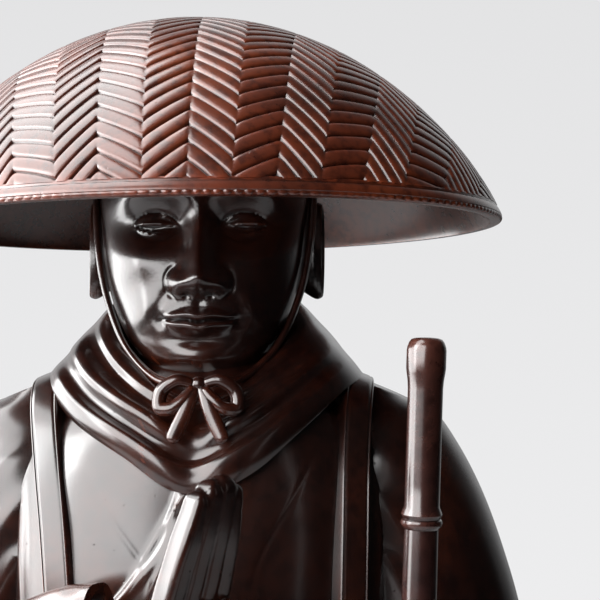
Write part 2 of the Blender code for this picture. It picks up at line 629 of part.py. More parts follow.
def staff_bore():
    """Hole through the fist that the staff slides in."""
    foot, top = staff_ends()
    shape = bmesh.new()
    bmesh.ops.create_cone(shape, cap_ends=True, segments=14, radius1=STAFF_RADIUS + GRIP_CLEARANCE,
                          radius2=STAFF_RADIUS + GRIP_CLEARANCE, depth=(top - foot).length)
    turn = Vector((0, 0, 1)).rotation_difference(top - foot).to_matrix().to_4x4()
    bmesh.ops.transform(shape, matrix=Matrix.Translation((foot + top) / 2) @ turn, verts=shape.verts)
    mesh = bpy.data.meshes.new("staff_bore")
    shape.to_mesh(mesh)
    shape.free()
    return bpy.data.objects.new("staff_bore", mesh)


def make_figure():
    """The cast figure: one solid from the crown to the sandals."""
    figure = make_robe()
    figure.name = "figure"
    dress = [make_scarf()]
    bare = [make_head(), *make_raised_hand(), *make_fist(), *make_cord()]
    for side in (-1, 1):
        elbow = ball(f"elbow_form_{side}", (side * 42, -3, 215), (8, 11, 17), 8, 6)
        dress += [make_strap(side), make_upper_arm(side), elbow, make_sleeve(side)]
        bare += [make_ear(side), make_leg(side), *make_foot(side)]
    cuffs = [make_sleeve_mouth(-1), make_sleeve_mouth(1)]
    add_boolean(figure, "UNION", helper_collection("dress forms", dress))
    add_boolean(figure, "DIFFERENCE", helper_collection("cuff cuts", cuffs))
    add_boolean(figure, "UNION", helper_collection("head, hands, cord and feet", bare))
    add_boolean(figure, "DIFFERENCE", helper_collection("staff hole", [staff_bore()]))
    return figure


# Hat

def hat_profile(share):
    """Height of the crown over the rim at a share of its radius, as a share of its rise."""
    return (1 - np.clip(share, 0, 1) ** 2.05) ** 0.78


def hat_table():
    """Arc length from the apex, radius, height and outward slope down the crown, in metres."""
    share = 1 - np.linspace(1, 0, 400) ** 1.6
    radius = share * HAT_RADIUS
    height = hat_profile(share) * HAT_RISE
    arc = np.concatenate([[0], np.cumsum(np.hypot(np.diff(radius), np.diff(height)))])
    return arc, radius, height, np.arctan2(-np.gradient(height), np.gradient(radius))


def wrap_on_crown(points):
    """Bends flat weave (x, y, thickness) over the crown, keeping lengths from the apex."""
    arc, radius, height, slope = hat_table()
    reach = np.hypot(points[:, 0], points[:, 1])
    away = points[:, :2] / np.maximum(reach, 1e-9)[:, None]
    lean = np.interp(reach, arc, slope)
    out = np.interp(reach, arc, radius) + points[:, 2] * np.sin(lean)
    up = np.interp(reach, arc, height) + points[:, 2] * np.cos(lean)
    return np.column_stack([away * out[:, None], up])


def make_weave():
    """Herringbone of overlapping strips, laid flat, cut round and bent over the crown."""
    arc, radius, _, _ = hat_table()
    edge = float(np.interp(HAT_RADIUS * BAND_SHARE, radius, arc))
    columns = 2 * math.ceil(edge / WEAVE_COLUMN) + 4
    strips = 2 * math.ceil(edge / WEAVE_PITCH) + 14
    drop = WEAVE_COLUMN * math.tan(math.radians(WEAVE_SLANT))
    shape = bmesh.new()
    bmesh.ops.create_grid(shape, x_segments=columns, y_segments=2 * strips - 1, size=0.5)
    for vert in shape.verts:
        column = round((vert.co.x + 0.5) * columns)
        row = round((vert.co.y + 0.5) * (2 * strips - 1))
        strip, lip = divmod(row, 2)
        along = (strip - strips / 2) * WEAVE_PITCH + 0.18 * WEAVE_PITCH * lip
        across = (column - columns / 2) * WEAVE_COLUMN + WEAVE_SHIFT
        vert.co = (across, along + drop * (column % 2 - 0.5), WEAVE_RELIEF * lip)
    made = bmesh.ops.extrude_face_region(shape, geom=shape.faces[:])
    lowered = [v for v in made["geom"] if isinstance(v, bmesh.types.BMVert)]
    for vert in lowered:
        vert.co.z = -WEAVE_SKIN
    bmesh.ops.recalc_face_normals(shape, faces=shape.faces)
    sheet = bpy.data.meshes.new("weave_sheet")
    shape.to_mesh(sheet)
    shape.free()
    weave = bpy.data.objects.new("weave_sheet", sheet)
    disc_shape = bmesh.new()
    bmesh.ops.create_cone(disc_shape, cap_ends=True, segments=32, radius1=edge, radius2=edge,
                          depth=4 * WEAVE_SKIN)
    disc_mesh = bpy.data.meshes.new("weave_disc")
    disc_shape.to_mesh(disc_mesh)
    disc_shape.free()
    disc = bpy.data.objects.new("weave_disc", disc_mesh)
    helper_collection("weave cutting", [weave, disc])
    trim = weave.modifiers.new("Round", "BOOLEAN")
    trim.operation = "INTERSECT"
    trim.object = disc
    bpy.context.view_layer.update()
    flat = bpy.data.meshes.new_from_object(weave.evaluated_get(bpy.context.evaluated_depsgraph_get()))
    points = np.empty(len(flat.vertices) * 3, np.float32)
    flat.vertices.foreach_get("co", points)
    bent = wrap_on_crown(points.reshape(-1, 3).astype(float))
    flat.vertices.foreach_set("co", bent.astype(np.float32).ravel())
    flat.update()
    bpy.data.objects.remove(weave)
    bpy.data.objects.remove(disc)
    return bpy.data.objects.new("weave_form", flat)


def turned(name, profile, steps):
    """Body turned about Z from an outer profile that runs top to bottom at +X."""
    mesh = bpy.data.meshes.new(name)
    edges = [(k, k + 1) for k in range(len(profile) - 1)]
    mesh.from_pydata([(r, 0, z) for r, z in profile], edges, [])
    body = bpy.data.objects.new(name, mesh)
    screw = body.modifiers.new("Turn", "SCREW")
    screw.steps = steps
    screw.render_steps = steps
    screw.use_merge_vertices = True
    screw.merge_threshold = 0.00001
    return body


def made_mesh(body):
    """Applies a helper's modifiers, so that it can be joined to others."""
    bpy.context.scene.collection.objects.link(body)
    bpy.context.view_layer.update()
    mesh = bpy.data.meshes.new_from_object(body.evaluated_get(bpy.context.evaluated_depsgraph_get()))
    result = bpy.data.objects.new(body.name + "_mesh", mesh)
    bpy.data.objects.remove(body)
    return result


def skull_height(x, y):
    """Height above the chin of the skull over points of a plan, in parts of the head."""
    levels = np.linspace(40, 62.9, 230)[:, None]
    forward = HEAD_SHIFT - y
    depth = np.where(forward > 0, curve_through(HEAD_FRONT, levels), curve_through(HEAD_BACK, levels))
    reach = (np.abs(x) / curve_through(HEAD_WIDTH, levels)) ** FACE_FULLNESS
    inside = reach + (np.abs(forward) / depth) ** FACE_FULLNESS < 1
    return np.where(inside, levels, 0).max(0)


def hat_frame():
    """Height of the hat's seat, and how it leans: its band rests on the highest point of the skull below it."""
    lean = Matrix.Rotation(math.radians(-HAT_TILT_BACK), 4, "X")
    lean = lean @ Matrix.Rotation(math.radians(HAT_ROLL), 4, "Y")
    turn = np.linspace(0, 2 * math.pi, 73)
    contact = 0
    for radius in (HEADBAND_RADIUS, HEADBAND_RADIUS + HEADBAND_WALL):
        ring = np.column_stack([radius * np.sin(turn), radius * np.cos(turn), 0 * turn])
        ring = ring @ np.array(lean.to_3x3()).T
        ring /= HEAD_PART
        skull = skull_height(ring[:, 0] + HAT_OFFSET_X / HEAD_PART, ring[:, 1] + HEAD_SHIFT)
        contact = max(contact, (skull - ring[:, 2]).max())
    return HEAD[1] + contact * HEAD_PART + REST_GAP, lean


def make_hat():
    """Shallow domed hat: woven crown, plain rim band, smooth inside and a headband that sits on the skull."""
    seat, lean = hat_frame()
    share = np.sin(np.linspace(0, 1, 9) * math.pi / 2)
    share = share[share < BAND_SHARE - 0.02]
    outer = [(s * HAT_RADIUS, hat_profile(s) * HAT_RISE - WEAVE_SKIN / 2) for s in share]
    band, band_top = HAT_RADIUS + HAT_BAND_SWELL, float(hat_profile(BAND_SHARE)) * HAT_RISE
    outer += [(HAT_RADIUS * BAND_SHARE - 0.0004, band_top + 0.0002), (band - 0.0006, band_top - 0.0004),
              (band, band_top - 0.0014), (band, 0.0010), (band - 0.0008, 0.0)]
    inner_radius, inner_rise = HAT_RADIUS - HAT_WALL, HAT_RISE - HAT_WALL
    inward = np.sin(np.linspace(1, 0, 5) * math.pi / 2)
    inner = [(s * inner_radius, hat_profile(s) * inner_rise) for s in inward]
    shell = made_mesh(turned("shell", [*outer, (inner_radius, 0.0), *inner[1:]], 28))
    seat_height = HAT_RISE * HAT_SEAT_SHARE
    ring_top = float(hat_profile((HEADBAND_RADIUS + HEADBAND_WALL) / inner_radius) * inner_rise) + HAT_WALL / 2
    ring_in, ring_out = HEADBAND_RADIUS, HEADBAND_RADIUS + HEADBAND_WALL
    ring = made_mesh(turned("ring", [(ring_in, ring_top), (ring_out, ring_top), (ring_out, seat_height),
                                     (ring_in, seat_height), (ring_in, ring_top)], 16))
    shell.name = "hat"
    joined = helper_collection("hat forms", [make_weave(), ring])
    add_boolean(shell, "UNION", joined)
    place = Matrix.Translation((HAT_OFFSET_X, HEAD_SHIFT * HEAD_PART, seat)) @ lean
    place = place @ Matrix.Translation((0, 0, -seat_height))
    for obj in (shell, *joined.objects):
        obj.matrix_world = place
    return shell


# Staff and plinth

def make_staff():
    """Bamboo staff: joints along its length and a rounded head."""
    foot, top = staff_ends()
    length = (top - foot).length
    knots = [0.13, 0.265, 0.395, 0.525, 0.655, 0.785, 0.898]
    profile = [(0, length), (STAFF_RADIUS * 0.86, length), (STAFF_RADIUS + STAFF_HEAD_SWELL, length - 0.0018),
               (STAFF_RADIUS + STAFF_HEAD_SWELL, length - 0.0050), (STAFF_RADIUS, length - STAFF_HEAD_LENGTH)]
    for share in reversed(knots):
        z = share * length
        profile += [(STAFF_RADIUS, z + 0.0030), (STAFF_RADIUS + STAFF_KNOT_SWELL, z + 0.0006),
                    (STAFF_RADIUS + STAFF_KNOT_SWELL, z - 0.0006), (STAFF_RADIUS * 0.98, z - 0.0022)]
    profile += [(STAFF_RADIUS, 0.0008), (STAFF_RADIUS * 0.8, 0), (0, 0)]
    staff = turned("staff", profile, 8)
    staff.location = foot
    staff.rotation_mode = "QUATERNION"
    staff.rotation_quaternion = Vector((0, 0, 1)).rotation_difference(top - foot)
    return staff


def make_plinth():
    """Low round plinth with one step."""
    inner = PLINTH_RADIUS - PLINTH_STEP
    profile = [(0, PLINTH_HEIGHT), (inner - PLINTH_CHAMFER, PLINTH_HEIGHT),
               (inner, PLINTH_HEIGHT - PLINTH_CHAMFER), (inner, PLINTH_STEP_HEIGHT),
               (PLINTH_RADIUS - PLINTH_CHAMFER, PLINTH_STEP_HEIGHT),
               (PLINTH_RADIUS, PLINTH_STEP_HEIGHT - PLINTH_CHAMFER), (PLINTH_RADIUS, 0), (0, 0)]
    return turned("plinth", profile, 32)


def main():
    for obj in list(bpy.data.objects):
        bpy.data.objects.remove(obj)
    bronze = material("patinated bronze", (0.075, 0.022, 0.013), 0.28, 0.55)
    hat_bronze = material("hat bronze", (0.11, 0.030, 0.016), 0.30, 0.55)
    staff_bronze = material("staff bronze", (0.085, 0.025, 0.016), 0.30, 0.55)
    plinth_bronze = material("plinth bronze", (0.045, 0.016, 0.011), 0.34, 0.55)
    statue = bpy.data.collections.new("monk statue")
    bpy.context.scene.collection.children.link(statue)
    parts = [(make_figure(), bronze), (make_hat(), hat_bronze), (make_staff(), staff_bronze),
             (make_plinth(), plinth_bronze)]
    for obj, finish in parts:
        obj.data.materials.clear()
        obj.data.materials.append(finish)
        statue.objects.link(obj)


main()
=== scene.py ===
"""Looks of the standing monk: carved head, scarf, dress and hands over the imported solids, the woven
travelling hat, the bamboo staff and the plinth, in dark red-brown lacquered bronze.

The figure's forms are written in parts of its own height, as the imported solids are, and everything else
is in metres. The figure faces -Y with +X to the viewer's right.
"""

import math

import bpy
import numpy as np
from mathutils import Matrix, Vector


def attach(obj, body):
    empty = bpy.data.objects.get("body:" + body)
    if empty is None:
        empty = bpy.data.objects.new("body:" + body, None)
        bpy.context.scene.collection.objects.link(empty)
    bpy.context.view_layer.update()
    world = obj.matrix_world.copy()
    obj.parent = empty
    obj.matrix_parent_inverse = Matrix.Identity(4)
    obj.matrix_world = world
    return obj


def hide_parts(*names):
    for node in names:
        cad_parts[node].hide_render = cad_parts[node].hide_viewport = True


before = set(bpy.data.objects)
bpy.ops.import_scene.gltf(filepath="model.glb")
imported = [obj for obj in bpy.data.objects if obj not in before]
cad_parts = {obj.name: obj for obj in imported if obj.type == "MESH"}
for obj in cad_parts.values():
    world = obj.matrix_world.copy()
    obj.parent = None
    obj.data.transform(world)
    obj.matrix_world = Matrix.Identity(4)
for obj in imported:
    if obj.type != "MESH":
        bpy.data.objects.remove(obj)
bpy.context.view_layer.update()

# Sizes shared with the solids, in metres
FIGURE_HEIGHT = 0.366
HEAD_HEIGHT = 0.063
GRIP_HEIGHT = 0.226
PLINTH_RADIUS = 0.076
PLINTH_HEIGHT = 0.016
PLINTH_STEP = 0.005
PLINTH_STEP_HEIGHT = 0.0075
HAT_RADIUS = 0.0638
HAT_RISE = 0.0435
HAT_WALL = 0.0020
HAT_BAND_SWELL = 0.0005
HAT_OFFSET_X = -0.0018
HAT_TILT_BACK = 2.6
HAT_ROLL = -0.8
HAT_SEAT_SHARE = 0.671
HEADBAND_RADIUS = 0.0150
HEADBAND_WALL = 0.0018
WEAVE_COLUMN = 0.0097
WEAVE_PITCH = 0.0041
WEAVE_SHIFT = 0.0024
WEAVE_RELIEF = 0.0006
WEAVE_SLANT = 35.0
WEAVE_SKIN = 0.0010
BAND_SHARE = 0.984
STAFF_RADIUS = 0.0031
STAFF_KNOT_SWELL = 0.0006
STAFF_HEAD_LENGTH = 0.0075
STAFF_HEAD_SWELL = 0.0004
STAFF_FOOT = (0.0335, -0.0560)
STAFF_TOP = (0.0425, -0.0620, 0.3285)
REST_GAP = 0.0003

# The carving is written in small parts: of the body from soles to chin, of the head from chin to crown
CHIN_LEVEL = 303
CROWN_LEVEL = 63
SOLES = PLINTH_HEIGHT + REST_GAP
BODY_PART = (FIGURE_HEIGHT - HEAD_HEIGHT) / CHIN_LEVEL
HEAD_PART = HEAD_HEIGHT / CROWN_LEVEL
BODY = (BODY_PART, SOLES)
HEAD = (HEAD_PART, SOLES + FIGURE_HEIGHT - HEAD_HEIGHT)
SEAM_GAP = 2e-6
SHORTEST_EDGE = 1e-7


# Curves and shaping

STROKE_STOPS = 24


def curve_through(knots, at):
    """Smooth curve through (key, value) knots, read at the given keys."""
    keys, values = np.asarray(knots, float).T
    at = np.clip(np.asarray(at, float), keys[0], keys[-1])
    slopes = np.gradient(values, keys)
    i = np.clip(np.searchsorted(keys, at, side="right") - 1, 0, len(keys) - 2)
    span = keys[i + 1] - keys[i]
    t = (at - keys[i]) / span
    rise = values[i + 1] - values[i]
    first = slopes[i] * span
    last = slopes[i + 1] * span
    return values[i] + t * (first + t * ((3 * rise - 2 * first - last) + t * (first + last - 2 * rise)))


def path_through(points, at):
    """Smooth path through points, read at shares 0 to 1 of the point list."""
    points = np.asarray(points, float)
    keys = np.linspace(0, 1, len(points))
    lines = [curve_through(np.stack([keys, values], 1), at) for values in points.T]
    return np.stack(lines, -1)


def bump(u, v, centre_u, centre_v, wide, tall):
    """Rounded hill of height 1 at a centre."""
    return np.exp(-(((u - centre_u) / wide) ** 2) - ((v - centre_v) / tall) ** 2)


def step_up(value, low, high):
    """0 below low, 1 above high, smooth between."""
    t = np.clip((value - low) / (high - low), 0, 1)
    return t * t * (3 - 2 * t)


def gathered(share, pull):
    """Shares from 0 to 1, drawn closer together at both ends by pull."""
    return share - pull * np.sin(2 * math.pi * share) / (2 * math.pi)


def unit_rows(vectors):
    return vectors / np.linalg.norm(vectors, axis=1)[:, None]


def smooth_max(a, b, blend):
    return 0.5 * (a + b + np.sqrt((a - b) ** 2 + blend**2))


def signed_power(value, power):
    return np.sign(value) * np.abs(value) ** power


def along_stroke(u, v, stops):
    """Share along a bent stroke and signed distance beside it for every point, by its nearest run."""
    stops = np.asarray(stops, float)
    lengths = np.hypot(*np.diff(stops, axis=0).T)
    starts = np.concatenate([[0], np.cumsum(lengths)])
    best = np.full(np.shape(u), 1e9)
    share = np.zeros(np.shape(u))
    beside = np.zeros(np.shape(u))
    for k, length in enumerate(lengths):
        du, dv = (stops[k + 1] - stops[k]) / length
        t = np.clip((u - stops[k, 0]) * du + (v - stops[k, 1]) * dv, 0, length)
        off_u, off_v = u - stops[k, 0] - t * du, v - stops[k, 1] - t * dv
        away = np.hypot(off_u, off_v)
        near = away < best
        best = np.where(near, away, best)
        share = np.where(near, (starts[k] + t) / starts[-1], share)
        beside = np.where(near, away * np.sign(off_u * dv - off_v * du), beside)
    return share, beside


def fold(u, v, stops, width, height, fade, lean=0.0):
    """Raised or sunken fold along a stroke, steeper on one side by lean, that dies out at both ends."""
    share, beside = along_stroke(u, v, path_through(stops, np.linspace(0, 1, STROKE_STOPS)))
    ends = step_up(share, 0, fade) * (1 - step_up(share, 1 - fade, 1))
    side = np.where(beside > 0, width * (1 + lean), width * (1 - lean))
    return height * ends * np.exp(-((beside / side) ** 2))


# Mesh making

def deselect():
    for obj in bpy.context.selected_objects:
        obj.select_set(False)


def activate(obj):
    deselect()
    obj.select_set(True)
    bpy.context.view_layer.objects.active = obj


def close_seams(obj):
    """Merges coinciding seams and poles and turns the faces outwards."""
    activate(obj)
    bpy.ops.object.mode_set(mode="EDIT")
    bpy.ops.mesh.select_all(action="SELECT")
    bpy.ops.mesh.remove_doubles(threshold=SEAM_GAP)
    bpy.ops.mesh.dissolve_degenerate(threshold=SHORTEST_EDGE)
    bpy.ops.mesh.normals_make_consistent(inside=False)
    bpy.ops.object.mode_set(mode="OBJECT")


def move_points(obj, points):
    obj.data.vertices.foreach_set("co", points.astype(np.float32).ravel())
    obj.data.update()


def sheet(name, points):
    """Grid whose rows and columns are pushed to the given points (rows, columns, 3), in metres."""
    rows, columns = points.shape[:2]
    deselect()
    bpy.ops.mesh.primitive_grid_add(x_subdivisions=columns - 1, y_subdivisions=rows - 1, size=1)
    obj = bpy.context.active_object
    obj.name = name
    move_points(obj, points)
    return obj


def carved(name, points, place=BODY):
    """Closed form from a sheet whose edges meet, in parts of the body unless another place is given."""
    scale, lift = place
    obj = sheet(name, np.asarray(points, float) * scale + np.array([0, 0, lift]))
    close_seams(obj)
    return obj


def with_poles(rings):
    """Rings closed at both ends by their own centres, and round to their first column."""
    rings = np.asarray(rings, float)
    ends = [np.repeat(rings[k].mean(0)[None], rings.shape[1], 0) for k in (0, -1)]
    rings = np.concatenate([ends[0][None], rings, ends[1][None]])
    return np.concatenate([rings, rings[:, :1]], 1)


def tube(name, points, radii, sides, stations, flat=1.0, face=(0, 1, 0), fullness=2.0, place=BODY):
    """Round, flattened or squared rod along a smooth path, with radii read along it and rounded ends."""
    at = np.linspace(0, 1, stations)
    line = path_through(points, at)
    radius = curve_through(np.stack([np.linspace(0, 1, len(radii)), radii], 1), at)
    reach = np.concatenate([[0], np.cumsum(np.linalg.norm(np.diff(line, axis=0), axis=1))])
    from_end = np.minimum(reach, reach[-1] - reach)
    radius = radius * np.sqrt(np.clip(1 - (1 - np.clip(from_end / (0.9 * radius), 0, 1)) ** 2, 0.02, 1))
    along = unit_rows(np.gradient(line, axis=0))
    side = unit_rows(np.cross(along, np.array(face, float)))
    out = np.cross(side, along)
    turn = np.arange(sides) / sides * 2 * math.pi
    rings = (
        line[:, None]
        + (radius[:, None] * signed_power(np.cos(turn), 2 / fullness))[..., None] * side[:, None]
        + (flat * radius[:, None] * signed_power(np.sin(turn), 2 / fullness))[..., None] * out[:, None]
    )
    return carved(name, with_poles(rings), place)


def apply_boolean(target, operation, others):
    """Joins or cuts target with the others and applies the result."""
    for other in others:
        modifier = target.modifiers.new(operation.title(), "BOOLEAN")
        modifier.operation = operation
        modifier.object = other
        modifier.solver = "MANIFOLD"
        activate(target)
        bpy.ops.object.modifier_apply(modifier=modifier.name)
        bpy.data.objects.remove(other)


def joined(name, forms):
    """One closed body from overlapping forms."""
    target = forms[0]
    apply_boolean(target, "UNION", forms[1:])
    target.name = name
    return target


# Head and face

HEAD_WIDTH = [(0, 4.0), (1.2, 8.0), (3, 11.2), (6, 14.4), (10, 17.1), (15, 19.3), (22, 21.1), (30, 22.1),
              (40, 22.5), (48, 21.4), (54, 18.2), (58.5, 13.4), (61.6, 7.6), (63, 0.0)]
HEAD_FRONT = [(0, 16.6), (1.2, 19.2), (3, 20.9), (6, 21.6), (9, 21.4), (12, 21.6), (18, 22.0), (24, 21.9),
              (31.5, 21.6), (36, 22.6), (41, 22.9), (47, 21.6), (53, 17.9), (58, 12.6), (61.6, 6.8),
              (63, 0.0)]
HEAD_BACK = [(0, -9.5), (1.2, -5.5), (3, -1.0), (6, 5.0), (10, 12.0), (15, 18.5), (22, 23.8), (30, 27.2),
             (40, 28.6), (48, 26.6), (54, 21.8), (58.5, 15.4), (61.6, 8.2), (63, 0.0)]
HEAD_SHIFT = -1.0
FACE_FULLNESS = 2.35
HEAD_COLUMNS = 300
HEAD_ROWS = 260
LOWEST_ROW = 0.12
HIGHEST_ROW = 62.86
NOSE_BRIDGE = [(15.8, 0), (17.0, 1.5), (18.2, 4.2), (19.8, 5.8), (22.2, 5.4), (26, 4.0), (30, 2.6),
               (33.5, 1.4), (38, 0.0)]
NOSE_HALF_WIDTH = [(16, 3.2), (20, 3.2), (24, 2.8), (30, 2.3), (34, 2.7), (38, 4.4)]
MOUTH_LINE = 11.7
MOUTH_HALF_WIDTH = 7.6
EYE_LINE = 30.7
EYE_APART = 8.9
EYE_HALF_WIDTH = 4.9
EYEBALL_RADIUS = 6.1
EYEBALL_CENTRE = 12.5


def face_relief(x, z):
    """How far the carved face stands forward of the bare head, at x and height above the chin."""
    s = np.abs(x)
    brow = 36.8 + 0.8 * np.exp(-(((s - 10) / 5) ** 2))
    relief = 0.9 * np.exp(-(((s - 9.0) / 6.6) ** 4)) * np.exp(-(((z - brow) / 1.6) ** 2))
    relief -= 2.9 * bump(s, z, 8.9, 31.4, 6.0, 4.6) + 1.2 * bump(s, z, 4.3, 31.2, 2.1, 3.4)
    relief += 1.2 * bump(s, z, 13.4, 24.2, 5.6, 4.6) + 0.8 * bump(s, z, 11.5, 13.0, 4.5, 5.0)
    relief -= 0.9 * bump(s, z, 18.5, 37.0, 3.2, 5.5) + 0.4 * bump(s, z, 15.5, 15.5, 3.2, 4.0)
    bridge = curve_through(NOSE_BRIDGE, z)
    half = curve_through(NOSE_HALF_WIDTH, z)
    on_nose = (z > NOSE_BRIDGE[0][0]) & (z < NOSE_BRIDGE[-1][0])
    relief += np.where(on_nose, bridge, 0) * np.exp(-((s / half) ** 2.1))
    relief += 2.3 * bump(s, z, 4.1, 19.2, 2.0, 2.0) - 0.9 * bump(s, z, 2.4, 16.9, 1.1, 0.7)
    wing = np.hypot(s - 4.0, (z - 19.4) * 0.9) - 2.8
    relief -= 0.4 * np.exp(-((wing / 0.6) ** 2)) * step_up(s, 4.2, 5.8)
    relief -= 0.35 * bump(s, z, 0.0, 14.8, 0.9, 1.3)
    corner = np.clip(1 - (s / MOUTH_HALF_WIDTH) ** 2, 0, 1)
    line = MOUTH_LINE - 0.28 * np.exp(-((s / 1.4) ** 2)) + 0.18 * np.exp(-(((s - 3.0) / 1.8) ** 2))
    line = line + 0.35 * (s / MOUTH_HALF_WIDTH) ** 4
    relief += 1.1 * bump(s, z, 0.0, 12.2, 8.5, 5.0)
    relief += 1.0 * corner * np.exp(-(((z - line - 0.45 - 0.7 * corner) / (0.45 + 0.55 * corner)) ** 2))
    relief += 1.4 * corner**1.3 * np.exp(-(((z - line + 0.5 + 0.8 * corner) / (0.5 + 0.7 * corner)) ** 2))
    relief -= (0.25 + 0.6 * corner) * step_up(8.2 - s, 0, 2.2) * np.exp(-(((z - line) / 0.38) ** 2))
    relief -= 0.7 * bump(s, z, 8.0, 11.6, 1.4, 1.6) + 0.9 * bump(s, z, 0.0, 7.7, 5.0, 1.4)
    relief += 1.0 * bump(s, z, 0.0, 4.2, 5.2, 2.6)
    crease = (s - 5.6) * 0.86 + (z - 19.0) * 0.50
    along = step_up(z, 9.0, 14.0) * (1 - step_up(z, 16.5, 20.5))
    relief -= 0.35 * along * np.exp(-((crease / 1.1) ** 2))
    return relief


def with_eyes(x, z, forward):
    """Sets the eyeball under its lowered lids into the socket at the given forward distance."""
    s = np.abs(x) - EYE_APART
    v = z - EYE_LINE
    u = np.clip(s / EYE_HALF_WIDTH, -1, 1)
    within = 1.1 - np.abs(s / EYE_HALF_WIDTH)
    arch = np.clip(1 - u**2, 0, 1)
    gap = np.minimum(v - 0.15 * u + 1.45 * arch, 0.15 * u + 0.30 * arch**0.8 - v)
    inside = step_up(gap, -0.15, 0.45)
    cap = (EYEBALL_RADIUS - 0.7 * inside) ** 2 - s**2 - (v - 0.1) ** 2
    ball = EYEBALL_CENTRE + np.sqrt(np.maximum(cap, 0))
    ball -= 0.16 * inside * np.exp(-((np.hypot(s, v + 0.5) / 0.8) ** 4))
    brim = 0.22 * np.exp(-(((v - 0.15 * u - 0.62 * arch**0.8) / 0.34) ** 2)) * arch
    crease = 0.38 * np.exp(-(((v - 2.9 * arch**0.6 - 0.15 * u) / 0.40) ** 2)) * step_up(within, 0, 0.35)
    bag = 0.12 * np.exp(-(((v + 2.9 * arch**0.7) / 0.45) ** 2)) * step_up(within, 0, 0.4)
    seated = np.where(cap > 0, smooth_max(forward, ball, 0.6), forward)
    return seated + brim - crease - bag


def head_points(columns, rows):
    """Grid over the head from under the chin to the crown, in parts of the head."""
    turn = gathered(np.linspace(0, 1, columns + 1), 0.6)
    z = np.asarray(rows, float)[:, None]
    angle = 2 * math.pi * turn[None]
    width = curve_through(HEAD_WIDTH, z)
    front = curve_through(HEAD_FRONT, z)
    back = curve_through(HEAD_BACK, z)
    middle, half = (front - back) / 2, (front + back) / 2
    x = width * signed_power(np.sin(angle), 2 / FACE_FULLNESS)
    forward = middle + half * signed_power(np.cos(angle), 2 / FACE_FULLNESS)
    facing = step_up(np.cos(angle), 0.05, 0.35)
    forward = forward + face_relief(x, z) * facing
    forward = np.where(facing > 0.5, with_eyes(x, z, forward), forward)
    height = np.broadcast_to(z, x.shape)
    return np.stack([x, HEAD_SHIFT - forward, height], -1)


def make_head():
    rows = LOWEST_ROW + (HIGHEST_ROW - LOWEST_ROW) * gathered(np.linspace(0, 1, HEAD_ROWS), 0.28)
    return carved("head_form", with_poles(head_points(HEAD_COLUMNS, rows)[:, :-1]), HEAD)


def make_ear(side):
    """Shell of the ear: hollow, inner ridge, rim and a long lobe."""
    at = np.linspace(0, 1, 40)
    reach = curve_through([(0, 0.03), (0.25, 0.45), (0.45, 0.72), (0.62, 0.92), (0.78, 1.0), (1, 0.8)], at)
    ridges = [(0, 0.3), (0.2, 0.5), (0.36, 1.9), (0.47, 1.3), (0.62, 2.6), (0.78, 1.2), (1, -2.5)]
    lift = curve_through(ridges, at)
    turn = np.arange(64) / 64 * 2 * math.pi
    back = 4.6 * reach[:, None] * np.cos(turn) * (1 + 0.16 * np.sin(turn))
    up = 10.5 * reach[:, None] * np.sin(turn)
    out = side * (22.6 + lift[:, None] + 0.10 * back)
    rings = np.stack([out, HEAD_SHIFT + 3.4 + back + 0.12 * up, 26.5 + up], -1)
    return carved(f"ear_form_{side}", with_poles(rings), HEAD)


# Scarf

SCARF_TOP_Z = [(-180, 321), (-120, 320), (-90, 317.5), (-62, 312), (-40, 306), (-24, 302), (-12, 300),
               (0, 299), (12, 300), (26, 302.5), (40, 306), (62, 312), (90, 317.5), (120, 320), (180, 321)]
SCARF_LOW_Z = [(-180, 291), (-130, 296), (-90, 301.5), (-65, 299), (-45, 293.5), (-25, 288), (-6, 281.5),
               (8, 282), (20, 285.5), (36, 292.5), (60, 300.5), (90, 302.5), (130, 297), (180, 291)]
SCARF_ROLLS = [(0.0, 0.0), (0.07, 0.5), (0.15, 0.3), (0.24, -1.1), (0.30, -1.1), (0.42, 1.1), (0.53, 1.0),
               (0.62, -0.8), (0.67, -0.8), (0.79, 1.1), (0.90, 1.2), (0.97, 0.6), (1.0, 0.0)]


def wound_folds(face, angle):
    """Height of the scarf's three rolls across its width, flatter at the sides and open at the throat."""
    drift = 0.030 * np.sin(2.4 * angle + 0.6) + 0.015 * np.sin(4.3 * angle)
    rolls = curve_through(SCARF_ROLLS, face + drift * np.sin(math.pi * np.clip(face, 0, 1)))
    flat = 0.10 + 0.90 * step_up(np.cos(angle + 0.12), 0.05, 0.85)
    from_throat = angle + 0.03
    opening = 0.09 + 0.16 * np.clip(1 - face, 0, 1)
    throat = 1.7 * np.exp(-((from_throat / opening) ** 2)) * step_up(face, 0.05, 0.4)
    calm = 1 - 0.85 * np.exp(-((from_throat / 0.17) ** 2)) * (1 - step_up(face, 0.5, 0.75))
    right = 1 - 0.45 * step_up(angle, 0.2, 0.7)
    return rolls * flat * right * calm - throat * (1 - step_up(face, 0.8, 1.0))


